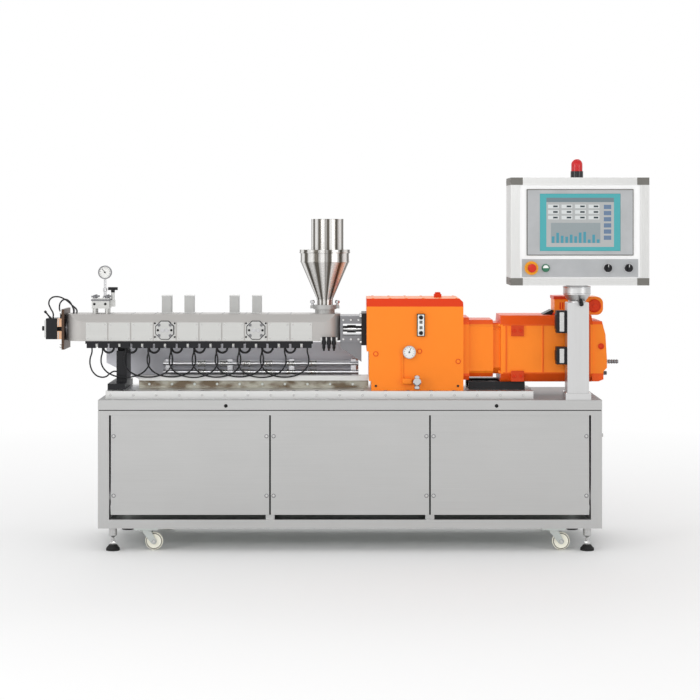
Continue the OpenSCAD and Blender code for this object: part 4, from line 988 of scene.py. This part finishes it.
LEVEL_FRAME = ((0.229, -0.012, 0.246), (0.265, 0.001, 0.349))
LEVEL_FACE = ((0.2325, -0.0135, 0.2495), (0.2615, -0.011, 0.3455))
LEVEL_WINDOW = ((0.240, -0.0145, 0), (0.254, -0.0125, 0.014))
LEVEL_WINDOW_HEIGHTS = (0.279, 0.304)
LEVEL_BOLT = (0.0095, 0.008)
LEVEL_BOLT_SPOTS = grid(moved(case_low, x=0.247, y=-0.0135), z=(0.262, 0.333))
level_frame = blocks("level_gauge_frame", LEVEL_FRAME, [case_low], black_plastic)
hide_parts("gearbox_fittings")
blocks("level_gauge_face", LEVEL_FACE, [case_low], white_plastic, edge=0.0015)
bolts("level_gauge_bolts", LEVEL_BOLT, "-Y", LEVEL_BOLT_SPOTS, black_paint)
window_spots = grid(case_low, z=LEVEL_WINDOW_HEIGHTS)
blocks("level_gauge_windows", LEVEL_WINDOW, window_spots, dark_plastic, edge=0.001)

OIL_DIAL_PLACE = moved(case_low, x=0.194, z=0.175)
dial("oil_dial", OIL_DIAL_PLACE, radius=0.030, depth=0.020, case_finish=chrome, needle_turn=20)

PIPE_PLACE = moved(case_low, x=0.163, y=-0.005, z=0.045)
PIPE_PROFILE = [(0.0035, 0), (0.0035, 0.110)]
PIPE_NUT_RISE = 0.105
PIPE_NUT_PROFILE = [(0.006, 0), (0.006, 0.012), (0.0045, 0.014)]
PIPE_BOSS = ((0.160, -0.026, 0.028), (0.208, 0.001, 0.056))
pipe = [turned(PIPE_PROFILE, PIPE_PLACE, sides=14),
        turned(PIPE_NUT_PROFILE, moved(PIPE_PLACE, z=PIPE_NUT_RISE), sides=14),
        block(case_low, PIPE_BOSS, edge=0.008, segments=3)]
dress(joined(pipe), "drain_pipe", orange_paint)

VALVE_PLACE = moved(case_low, x=0.228, z=0.042)
VALVE_FRONT = moved(VALVE_PLACE, y=-0.044)
VALVE_BODY_PROFILE = [(0.015, 0), (0.015, 0.018), (0.011, 0.020), (0.011, 0.034), (0.018, 0.036),
                      (0.018, 0.056), (0.013, 0.060)]
VALVE_HEAD_PROFILE = [(0.010, 0), (0.010, 0.016), (0.014, 0.018), (0.014, 0.026), (0.010, 0.030)]
VALVE_SPOUT_PROFILE = [(0.011, 0), (0.011, 0.018), (0.014, 0.020), (0.014, 0.030), (0.009, 0.034)]
valve = [turned(VALVE_BODY_PROFILE, VALVE_PLACE, "-Y", sides=28),
         turned(VALVE_HEAD_PROFILE, VALVE_FRONT, "+Z", sides=20),
         turned(VALVE_SPOUT_PROFILE, VALVE_FRONT, "-Z", sides=20)]
dress(joined(valve), "drain_valve", chrome)

BREATHER_PLACE = (case_low[0] + 0.332, 0, case_high[2])
BREATHER_BODY = ((-0.0175, -0.0175, -0.001), (0.0175, 0.0175, 0.016))
BREATHER_CAP = ((-0.013, -0.013, 0.014), (0.013, 0.013, 0.024))
breather = [block(BREATHER_PLACE, BREATHER_BODY, edge=0.003), block(BREATHER_PLACE, BREATHER_CAP, edge=0.004)]
dress(joined(breather), "gearbox_breather", red_orange_paint)

PORT_OFFSETS = ((0.241, 0.178), (0.042, 0.166), (0.417, 0.132))
PORT_SPOTS = [moved(case_low, x=across, z=rise) for across, rise in PORT_OFFSETS]
PORT_PROFILE = [(0.0115, 0), (0.0115, 0.0025), (0.0095, 0.0025), (0.0092, 0.0008)]
PORT_PLUG_PROFILE = [(0.0086, 0), (0.0086, 0.0016), (0.0080, 0.0020), (0.0040, 0.0020)]
studs("gearbox_ports", PORT_PROFILE, "-Y", PORT_SPOTS, red_orange_paint, sides=28)
studs("gearbox_port_plugs", PORT_PLUG_PROFILE, "-Y", PORT_SPOTS, orange_paint, sides=28)

flange_low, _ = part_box("gearbox_flange")
CASE_FOOT_SCREW = (0.0055, 0.003)
CASE_FOOT_SPOTS = grid(moved(case_low, z=0.020), x=(0.042, 0.416))
LID_SCREW = (0.006, 0.002)
LID_SPOTS = grid((case_low[0], 0, case_high[2]), x=row(0.03, pitch=0.0762, count=6), y=both(0.135))
FLANGE_BOLT = (0.008, 0.008)
FLANGE_SPOTS = grid((flange_low[0], 0, 0), y=both(0.095), z=inset("gearbox_flange", Z, 0.014))
bolts("gearbox_foot_screws", CASE_FOOT_SCREW, "-Y", CASE_FOOT_SPOTS, black_paint)
bolts("gearbox_lid_screws", LID_SCREW, "+Z", LID_SPOTS, orange_paint)
bolts("gearbox_flange_bolts", FLANGE_BOLT, "-X", FLANGE_SPOTS)

# Motor: flange and lug bolts, ribs, cover plug

OUTPUT_BOLT = (0.008, 0.009)
OUTPUT_SPOTS = grid((bell_low[0] + 0.029, 0, MOTOR_Z), y=both(0.124), z=both(0.0992))
MOTOR_BOLT = (0.008, 0.010)
MOTOR_SPOTS = grid((motor_low[0], 0, MOTOR_Z), y=both(0.126), z=both(0.1071))
LUG_BOLT = (0.007, 0.006)
LUG_SPOTS = grid((motor_low[0], motor_low[1], MOTOR_Z), x=(0.060, 0.090), z=(-0.123, 0.084))
bolts("output_flange_bolts", OUTPUT_BOLT, "+X", OUTPUT_SPOTS, orange_paint)
bolts("motor_flange_bolts", MOTOR_BOLT, "-X", MOTOR_SPOTS, orange_paint)
bolts("motor_lug_bolts", LUG_BOLT, "-Y", LUG_SPOTS, red_orange_paint)

MOTOR_FRONT = (motor_low[0], MOTOR_FACE, MOTOR_Z)
MOTOR_REAR = (motor_low[0], -MOTOR_FACE, MOTOR_Z)
UPRIGHT_RIB = ((0, -0.0035, -0.110), (0.006, 0.001, 0.110))
LEVEL_RIB = ((0.010, -0.003, 0), (0.410, 0.001, 0.006))
REAR_RIB = ((0, -0.001, -0.105), (0.006, 0.004, 0.105))
RIB_EDGE = 0.0015
UPRIGHT_RIB_SPOTS = grid(MOTOR_FRONT, x=(0.022, 0.190, 0.405))
LEVEL_RIB_SPOTS = grid(MOTOR_FRONT, z=(-0.112, 0.106))
REAR_RIB_SPOTS = grid(MOTOR_REAR, x=row(0.03, pitch=0.048, count=8))
upright_ribs = copies(slab(*UPRIGHT_RIB, RIB_EDGE), UPRIGHT_RIB_SPOTS)
level_ribs = copies(slab(*LEVEL_RIB, RIB_EDGE), LEVEL_RIB_SPOTS)
dress(joined([upright_ribs, level_ribs]), "motor_face_ribs", rib_paint)
blocks("motor_rear_ribs", REAR_RIB, REAR_RIB_SPOTS, orange_paint, edge=RIB_EDGE)

MOTOR_END = motor_low[0] + 0.420
MOTOR_PLUG_PLACE = (MOTOR_END + 0.040, -0.140, MOTOR_Z + 0.012)
MOTOR_PLUG_PROFILE = [(0.014, 0), (0.014, 0.004), (0.011, 0.005), (0.011, 0.002), (0.005, 0.003)]
studs("motor_cover_plug", MOTOR_PLUG_PROFILE, "-Y", [MOTOR_PLUG_PLACE], red_orange_paint, sides=28)

# Blower: round cap, covers, slots and the wedge of its cable box

blower_low, blower_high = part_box("motor_blower")
BLOWER_CAP_PLACE = (blower_high[0] - 0.040, blower_low[1], middle("motor_blower", Z))
BLOWER_CAP_PROFILE = [(0.03069, 0), (0.03069, 0.004), (0.0264, 0.006), (0.02574, 0.003), (0.0099, 0.003),
                      (0.00924, 0.007), (0.0033, 0.008)]
TOP_COVER = ((-0.004, -0.004, -0.012), (0.120, 0.004, 0.003))
FOOT_COVER = ((-0.006, -0.006, 0), (0.160, 0.006, 0.010))
BLOWER_SLOT = ((0, -0.0015, 0.026), (0.006, 0.001, -0.026))
SLOT_COLUMNS = row(blower_low[0] + 0.024, pitch=0.012, count=8)
WEDGE_PLACE = (blower_low[0], 0, blower_low[2])
WEDGE = ((-0.050, -0.050, 0), (-0.004, 0.050, 0.022))
WEDGE_CUT = moved(WEDGE_PLACE, x=-0.048, z=0.003)
WEDGE_CUT_NORMAL = (-0.45, 0, 0.9)
covers = [turned(BLOWER_CAP_PROFILE, BLOWER_CAP_PLACE, "-Y", sides=48)]
for z, box in ((blower_high[2], TOP_COVER), (blower_low[2], FOOT_COVER)):
    covers.append(slab(*around((blower_low[0], blower_low[1], z), (blower_low[0], blower_high[1], z), box)))
dress(joined(covers), "blower_covers", red_orange_paint)
slot_box = around((0, blower_low[1], blower_low[2]), (0, blower_low[1], blower_high[2]), BLOWER_SLOT)
blocks("blower_slots", slot_box, grid(ORIGIN, x=SLOT_COLUMNS), red_orange_paint, edge=0.001)
wedge = block(WEDGE_PLACE, WEDGE, edge=0.003)
start_editing()
bpy.ops.mesh.bisect(plane_co=WEDGE_CUT, plane_no=WEDGE_CUT_NORMAL, use_fill=True, clear_outer=True)
end_editing()
dress(wedge, "blower_wedge", black_paint)

# Hose tails: barbed ends with their nuts, each by length, height and distance from the motor's end

tail_low, tail_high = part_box("water_tails")
TAIL_RADIUS = 0.011
TAIL_OUT = 0.067
LOWER_SHARE = 0.76
TAILS = ((0.076, tail_high[2] - TAIL_RADIUS, TAIL_OUT),
         (0.037, tail_low[2] + TAIL_RADIUS, TAIL_OUT * LOWER_SHARE))
ROOT_RADIUS = 0.0085
ROOT_SHARE = 0.35
BARB_SHARES = row(0.38, pitch=0.15, count=4)
BARB_LENGTH = 0.12
BARB_RADIUS = 0.0105
BARB_NECK = 0.0075
tails = []
tail_nuts = []
for length, z, out in TAILS:
    tail_start = (MOTOR_END + out, 0, z)
    barbs = [(ROOT_RADIUS, 0), (ROOT_RADIUS, length * ROOT_SHARE)]
    for share in BARB_SHARES:
        barbs += [(BARB_RADIUS, length * share), (BARB_NECK, length * (share + BARB_LENGTH))]
    tails.append(turned(barbs, tail_start, "+X", sides=24))
    nut_profile = [(TAIL_RADIUS, 0), (TAIL_RADIUS, length * 0.30), (0.009, length * 0.33)]
    tail_nuts.append(turned(nut_profile, tail_start, "+X", sides=6))
hose_tails = dress(joined(tails), "hose_tails", dark_steel)
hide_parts("water_tails")
dress(joined(tail_nuts), "hose_tail_nuts", chrome)

# Lantern screws and die end: plate bolts, clamps, face bolts, lever, heater band edges, hood pin

lantern_low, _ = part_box("drive_lantern")
die_low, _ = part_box("die_plate")
die_body_low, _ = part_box("die_body")
heater_low, heater_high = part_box("die_heaters")
LANTERN_SCREW = (0.006, 0.005)
LANTERN_PLACE = (lantern_low[0], lantern_low[1], AXIS_Z)
LANTERN_SPOTS = grid(LANTERN_PLACE, x=row(0.014, pitch=0.035, count=3), z=(-0.045, 0.044))
DIE_BOLT = (0.009, 0.010)
DIE_SPOTS = grid((die_low[0], 0, AXIS_Z), y=both(0.078), z=both(0.078))
DIE_FRONT = (die_body_low[0] + 0.024, 0, AXIS_Z)
DIE_CLAMP = ((-0.007, -0.011, -0.040), (0.002, 0.011, 0.040))
DIE_CLAMP_Y = 0.040
FACE_BOLT = (0.007, 0.007)
FACE_SPOTS = grid(DIE_FRONT, y=both(0.018), z=both(0.03))
LEVER_PLACE = moved(DIE_FRONT, x=0.022, y=-0.03, z=0.046)
LEVER_LEAN = -40
LEVER_PROFILE = [(0.005, 0), (0.005, 0.012), (0.0038, 0.014), (0.0038, 0.036), (0.006, 0.038), (0.006, 0.046),
                 (0.003, 0.048)]
HEATER_BAND = ((-EDGE, -0.0015, 0), (0.004, 0.001, 0.034))
BAND_HEIGHTS = (heater_low[2] + 0.001, heater_high[2] - 0.035)
BAND_SPOTS = grid((heater_low[0], heater_low[1], 0), x=(0.003, 0.021), z=BAND_HEIGHTS)
PIN_PLACE = (hood_low[0] + 0.025, 0.02, hood_high[2])
PIN_PROFILE = [(0.006, 0), (0.006, 0.004), (0.004, 0.006), (0.004, 0.018), (0.006, 0.020), (0.006, 0.025),
               (0.003, 0.026)]
bolts("lantern_screws", LANTERN_SCREW, "-Y", LANTERN_SPOTS)
bolts("die_plate_bolts", DIE_BOLT, "-X", DIE_SPOTS)
blocks("die_clamps", DIE_CLAMP, grid(DIE_FRONT, y=both(DIE_CLAMP_Y)), bright_steel, edge=0.003)
bolts("die_face_bolts", FACE_BOLT, "-X", FACE_SPOTS)
lever = turn_about(turned(LEVER_PROFILE, LEVER_PLACE, sides=16), LEVER_PLACE, "Y", LEVER_LEAN)
dress(lever, "die_lever", black_plastic)
blocks("heater_band_edges", HEATER_BAND, BAND_SPOTS, bright_steel, edge=0.0008)
studs("hood_pin", PIN_PROFILE, "+Z", [PIN_PLACE], chrome, sides=18)

# Cooling manifolds: pipe couplings behind the zones from the fifth on

COUPLING_PROFILE = [(0.016, 0), (0.016, 0.010), (0.0145, 0.012), (0.0145, 0.026), (0.016, 0.028),
                    (0.016, 0.036)]
FIRST_COUPLING = 4
COUPLING_SPOTS = grid((0.03, 0.100, 0), x=zone_middles[FIRST_COUPLING:], z=(0.778, 0.819))
studs("manifold_couplings", COUPLING_PROFILE, "+X", COUPLING_SPOTS, bright_steel, sides=20)

# Mast: base screws, clamp lever, cup bands, connector shells and hoods

_, mast_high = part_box("panel_mast")
mast_x = middle("panel_mast", X)
mast_y = middle("panel_mast", Y)
MAST_BASE_TOP = 0.712
MAST_SCREW = (0.004, 0.004)
MAST_SPOTS = grid((mast_x, mast_y, MAST_BASE_TOP), x=both(0.0525), y=both(0.0525))
CUP_FOOT = (mast_x, mast_y, 1.121)
CUP_TOP = (mast_x, mast_y, mast_high[2])
CUP_RADIUS = 0.0625
GRIP_PLACE = moved(CUP_FOOT, x=0.012, y=-0.036, z=0.018)
GRIP_LEAN = 35
GRIP_PROFILE = [(0.007, 0), (0.007, 0.014), (0.005, 0.016), (0.005, 0.022), (0.009, 0.024), (0.010, 0.044),
                (0.006, 0.047)]
bolts("mast_base_screws", MAST_SCREW, "+Z", MAST_SPOTS)
grip = turn_about(turned(GRIP_PROFILE, GRIP_PLACE, "-Y", sides=18), GRIP_PLACE, "X", GRIP_LEAN)
dress(grip, "swivel_clamp_lever", black_plastic)
cup_bands = [rim(CUP_RADIUS, thickness=0.0016, place=moved(CUP_TOP, z=-0.004)),
             rim(CUP_RADIUS, thickness=0.0014, place=moved(CUP_FOOT, z=0.041))]
dress(joined(cup_bands), "swivel_cup_bands", chrome)

socket_low, socket_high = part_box("mast_connectors")
MAST_CONNECTORS = ((0.841, 0.919), (0.983, 1.084))
CONNECTOR_SHELL = ((0.012, -0.004, 0.006), (0.034, 0.004, -0.006))
CONNECTOR_HOOD = ((-0.003, -0.002, 0.016), (0.006, 0.002, -0.016))


def on_connectors(box):
    """Corners of a block round each mast connector."""
    return [around((socket_low[0], socket_low[1], foot), (socket_low[0], socket_high[1], top), box)
            for foot, top in MAST_CONNECTORS]


strips("connector_shells", on_connectors(CONNECTOR_SHELL), bright_steel, edge=0.003)
strips("connector_hoods", on_connectors(CONNECTOR_HOOD), black_plastic, edge=0.003)

# Operator panel: screen and its seal

bezel_low, bezel_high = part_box("display_bezel")
panel_x = middle("display_bezel", X)
panel_z = middle("display_bezel", Z)
SCREEN_W = 0.361
SCREEN_H = 0.257
GLASS_W = 0.302
GLASS_H = 0.220
SCREEN_GLOW = 0.35
TEAL = (0.045, 0.27, 0.29)
FIELD_GREY = (0.30, 0.31, 0.31)
TITLE_SLATE = (0.11, 0.15, 0.17)
TILE_GREY = (0.46, 0.48, 0.48)
INK = (0.02, 0.03, 0.035)
CHART_GREY = (0.20, 0.23, 0.24)
BAR_BLUE = (0.04, 0.20, 0.26)
KEY_BLUE = (0.09, 0.14, 0.22)
TITLE_FOOT = 0.91
TILE_COLUMNS = 5.0
TILE_ROWS = 8.8
TILE_FOOT = 0.54
TILE_HEAD = 0.88
TILE_END = 0.80
BAR_COLUMNS = 15.0
BAR_SEED = 3.7
BAR_RISE = 0.5
CHART_FOOT = 0.08
CHART_HEAD = 0.49
KEY_COUNT = 8.0
KEY_START = 0.85
KEY_END = 0.96


def tile_marks(u, v):
    """Value tiles in the screen's upper half, and the dark value in each."""
    columns = (u * TILE_COLUMNS).fraction()
    rows = ((v - TILE_FOOT) * TILE_ROWS).fraction()
    area = v.between(TILE_FOOT, TILE_HEAD) * u.between(0.0, TILE_END)
    tiles = area * columns.between(0.12, 0.92) * rows.between(0.18, 0.82)
    return tiles, tiles * columns.between(0.50, 0.84) * rows.between(0.34, 0.66)


def chart_marks(finish, u, v):
    """Field of the bar chart in the lower half, and its bars."""
    column = u.maths("FLOOR", u * BAR_COLUMNS)
    rise = finish.line_noise(column * BAR_SEED)
    field = u.between(1 / BAR_COLUMNS, 12 / BAR_COLUMNS) * v.between(CHART_FOOT, CHART_HEAD)
    return field, field * (u * BAR_COLUMNS).fraction().between(0.2, 0.8) * (v < rise * BAR_RISE)


def screen_finish():
    """Lit display: teal surround, title bar, value tiles, bar chart and a column of keys at the right."""
    finish = Finish("display", (0.02, 0.02, 0.02), roughness=0.25)
    across, _, height = finish.axes()
    u = (across - (panel_x - GLASS_W / 2)) / GLASS_W
    v = (height - (panel_z - GLASS_H / 2)) / GLASS_H
    glass = u.between(0.0, 1.0) * v.between(0.0, 1.0)
    tiles, values = tile_marks(u, v)
    field, bars = chart_marks(finish, u, v)
    keys = u.between(KEY_START, KEY_END) * v.between(1 / KEY_COUNT, 1 - 1 / KEY_COUNT)
    keys = keys * (v * KEY_COUNT).fraction().between(0.15, 0.85)
    picture = finish.mix(glass, TEAL, FIELD_GREY)
    layers = ((v > TITLE_FOOT, TITLE_SLATE), (tiles, TILE_GREY), (values, INK), (field, CHART_GREY),
              (bars, BAR_BLUE), (keys, KEY_BLUE))
    for mask, tone in layers:
        picture = finish.mix(mask * glass, picture, tone)
    finish.colour(picture)
    finish.feed(finish.shader.inputs["Emission Color"], picture)
    finish.shader.inputs["Emission Strength"].default_value = SCREEN_GLOW
    return finish


half_w = SCREEN_W / 2 - EDGE
half_h = SCREEN_H / 2 - EDGE
SCREEN = ((-half_w, 0.0012, -half_h), (half_w, 0.0030, half_h))
screen = block((panel_x, bezel_low[1], panel_z), SCREEN, edge=0.0006)
dress(screen, "display_screen", screen_finish(), "console")

BEZEL_SEAL = 0.004
SEAL_SINK = 0.003
seal_y = bezel_low[1] + SEAL_SINK
seals = []
for z in (bezel_low[2] - BEZEL_SEAL, bezel_high[2]):
    seals.append(((bezel_low[0] - BEZEL_SEAL, seal_y, z),
                  (bezel_high[0] + BEZEL_SEAL, bezel_high[1], z + BEZEL_SEAL)))
for x in (bezel_low[0] - BEZEL_SEAL, bezel_high[0]):
    seals.append(((x, seal_y, bezel_low[2]), (x + BEZEL_SEAL, bezel_high[1], bezel_high[2])))
strips("bezel_seal", seals, dark_plastic, "console")

# Operator panel: emergency stop, start button, selectors

_, strip_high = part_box("control_strip")
estop_low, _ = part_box("estop_button")
STRIP_FACE = strip_high[1] - 0.003
CONTROL_Z = middle("estop_button", Z)
estop_x = middle("estop_button", X)
COLLAR_BORE = 0.0115
COLLAR_PROFILE = [(COLLAR_BORE, 0), (0.0305, 0), (0.0305, 0.0095), (0.029, 0.011), (COLLAR_BORE, 0.011),
                  (COLLAR_BORE, 0)]
MUSHROOM_PROFILE = [(0.0185, 0), (0.0192, 0.002), (0.0192, 0.009), (0.0175, 0.0125), (0.012, 0.0138),
                    (0.004, 0.0141)]
MUSHROOM_BACK = 0.0140
STALK_PROFILE = [(0.009, 0), (0.009, 0.012), (0.0085, 0.014)]
STALK_BACK = 0.027
collar = turned(COLLAR_PROFILE, (estop_x, STRIP_FACE, CONTROL_Z), "-Y", sides=48, bored=True)
dress(collar, "estop_collar_cap", yellow_plastic, "console")
estop_front = (estop_x, estop_low[1], CONTROL_Z)
mushroom_spots = [moved(estop_front, y=MUSHROOM_BACK)]
mushroom = studs("estop_mushroom", MUSHROOM_PROFILE, "-Y", mushroom_spots, red_plastic, "estop", sides=48)
stalk_spots = [moved(estop_front, y=STALK_BACK)]
studs("estop_stalk", STALK_PROFILE, "-Y", stalk_spots, dark_plastic, "estop", sides=24)
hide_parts("estop_button")


def two_tone_plastic():
    """Lamp lens over a green push face."""
    finish = Finish("start_button_plastic", WHITE, roughness=0.35)
    height = finish.axes()[2]
    finish.colour(finish.mix(height > CONTROL_Z, GREEN, WHITE))
    return finish


_, start_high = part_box("start_button")
start_x = middle("start_button", X)
BUTTON_PROFILE = [(0.0129, 0), (0.0129, 0.010), (0.0118, 0.0118), (0.006, 0.0113)]
RING_BORE = 0.0136
RING_PROFILE = [(RING_BORE, 0), (0.0175, 0), (0.0175, 0.0055), (0.0165, 0.0065), (RING_BORE, 0.0065),
                (RING_BORE, 0)]
button = turned(BUTTON_PROFILE, (start_x, start_high[1], CONTROL_Z), "-Y", sides=40)
dress(button, "start_button_cap", two_tone_plastic(), "start")
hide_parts("start_button")
ring = turned(RING_PROFILE, (start_x, STRIP_FACE, CONTROL_Z), "-Y", sides=40, bored=True)
dress(ring, "start_button_ring", green_plastic, "console")

SELECTORS = (("selector_left", "selector_a"), ("selector_right", "selector_b"))
POINTER = ((-0.0010, -0.0003, 0.004), (0.0010, 0.0006, 0.0155))
SELECTOR_PLATE_PROFILE = [(0.0205, 0), (0.0205, 0.0003), (0.0200, 0.0003), (0.0190, 0.0003)]
for name, body in SELECTORS:
    knob_low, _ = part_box(name)
    x = middle(name, X)
    pointer_spots = [(x, knob_low[1], CONTROL_Z)]
    blocks(name + "_mark", POINTER, pointer_spots, white_plastic, body, edge=0.0002)
    plate_spots = [(x, STRIP_FACE, CONTROL_Z)]
    studs(name + "_plate", SELECTOR_PLATE_PROFILE, "-Y", plate_spots, chrome, "console", sides=40)

# Operator panel: screws of the corner pieces and of the back

corner_low, corner_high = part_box("console_corners")
_, housing_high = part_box("console_housing")
CORNER_SCREW = (0.006, 0.002)
CORNER_SCREW_RISE = 0.0165
CORNER_SCREW_DEPTH = 0.030
BACK_SCREW = (0.005, 0.003)
BACK_SCREW_INSET = 0.018
BACK_SCREW_DROPS = (-0.018, -0.200, -0.400)
corner_depths = inset("console_corners", Y, CORNER_SCREW_DEPTH)
corner_heights = inset("console_corners", Z, CORNER_SCREW_RISE)
for side, axis, x in (("left", "-X", corner_low[0]), ("right", "+X", corner_high[0])):
    corner_spots = grid((x, 0, 0), y=corner_depths, z=corner_heights)
    bolts(f"corner_screws_{side}", CORNER_SCREW, axis, corner_spots, dark_plastic, "console")
back_columns = inset("console_housing", X, BACK_SCREW_INSET)
back_spots = grid((0, housing_high[1], housing_high[2]), x=back_columns, z=BACK_SCREW_DROPS)
bolts("panel_back_screws", BACK_SCREW, "+Y", back_spots, body="console")

# Studio: pale floor, plain white surroundings, soft lamps

FLOOR_SIZE = 60
FLOOR_TONE = (0.93, 0.93, 0.93)
FLOOR_NEAR = 1.6
FLOOR_FAR = 5.0
PURE_WHITE = (1, 1, 1, 1)
SKY_LIGHT = 0.80
SKY_SEEN = 1.0
SEEN_RAYS = ("Is Camera Ray", "Is Glossy Ray", "Is Transmission Ray")


def studio_floor():
    """Pale floor that keeps the object's shadow and fades to white further out."""
    finish = Finish("studio_floor", FLOOR_TONE, roughness=0.9)
    across, depth, _ = finish.axes()
    distance = across.maths("SQRT", across * across + depth * depth)
    fade = finish.stretch(distance, FLOOR_NEAR, FLOOR_FAR)
    camera_ray, glossy_ray, glass_ray = [finish.node("LightPath", output=kind) for kind in SEEN_RAYS]
    seen = camera_ray.maths("MAXIMUM", camera_ray.maths("MAXIMUM", camera_ray, glossy_ray), glass_ray)
    glow = finish.node("Emission", None, {"Color": PURE_WHITE, "Strength": 1.0})
    plain = Signal(finish, finish.shader.outputs[0])
    cover = finish.node("MixShader", None, {0: fade * seen, 1: plain, 2: glow})
    finish.feed(finish.tree.nodes["Material Output"].inputs["Surface"], cover)
    return finish


clear_selection()
bpy.ops.mesh.primitive_plane_add(size=FLOOR_SIZE, location=ORIGIN)
floor = bpy.context.object
floor.name = "studio_floor"
floor.data.materials.append(studio_floor().material)

world = bpy.data.worlds.new("studio")
bpy.context.scene.world = world
world.use_nodes = True
sky = world.node_tree
background = sky.nodes["Background"]
ray = sky.nodes.new("ShaderNodeLightPath")
direct = sky.nodes.new("ShaderNodeMath")
direct.operation = "MAXIMUM"
sky.links.new(ray.outputs["Is Camera Ray"], direct.inputs[0])
sky.links.new(ray.outputs["Is Glossy Ray"], direct.inputs[1])
seen = sky.nodes.new("ShaderNodeMath")
seen.operation = "MAXIMUM"
sky.links.new(direct.outputs[0], seen.inputs[0])
sky.links.new(ray.outputs["Is Transmission Ray"], seen.inputs[1])
level = sky.nodes.new("ShaderNodeMapRange")
level.inputs["To Min"].default_value = SKY_LIGHT
level.inputs["To Max"].default_value = SKY_SEEN
sky.links.new(seen.outputs[0], level.inputs["Value"])
background.inputs["Color"].default_value = PURE_WHITE
sky.links.new(level.outputs[0], background.inputs["Strength"])


def lamp(name, place, target, size, power):
    """Rectangular area lamp that looks at a target."""
    data = bpy.data.lights.new(name, "AREA")
    data.shape = "RECTANGLE"
    data.size, data.size_y = size
    data.energy = power
    lamp_object = bpy.data.objects.new(name, data)
    bpy.context.collection.objects.link(lamp_object)
    lamp_object.location = place
    lamp_object.rotation_euler = (Vector(target) - Vector(place)).to_track_quat("-Z", "Y").to_euler()


lamp("key", place=(-5.0, -5.0, 2.5), target=(0, 0, 0.7), size=(2.4, 1.8), power=85)
lamp("fill", place=(5.4, -4.8, 1.8), target=(0, 0, 0.7), size=(2.2, 1.6), power=45)
lamp("front", place=(-0.6, -6.6, 2.9), target=(0, 0, 0.8), size=(3.0, 0.8), power=50)
lamp("rear", place=(0.0, 4.5, 3.6), target=(0, 0, 0.8), size=(4.0, 1.5), power=40)

bpy.context.scene.view_settings.view_transform = "Standard"
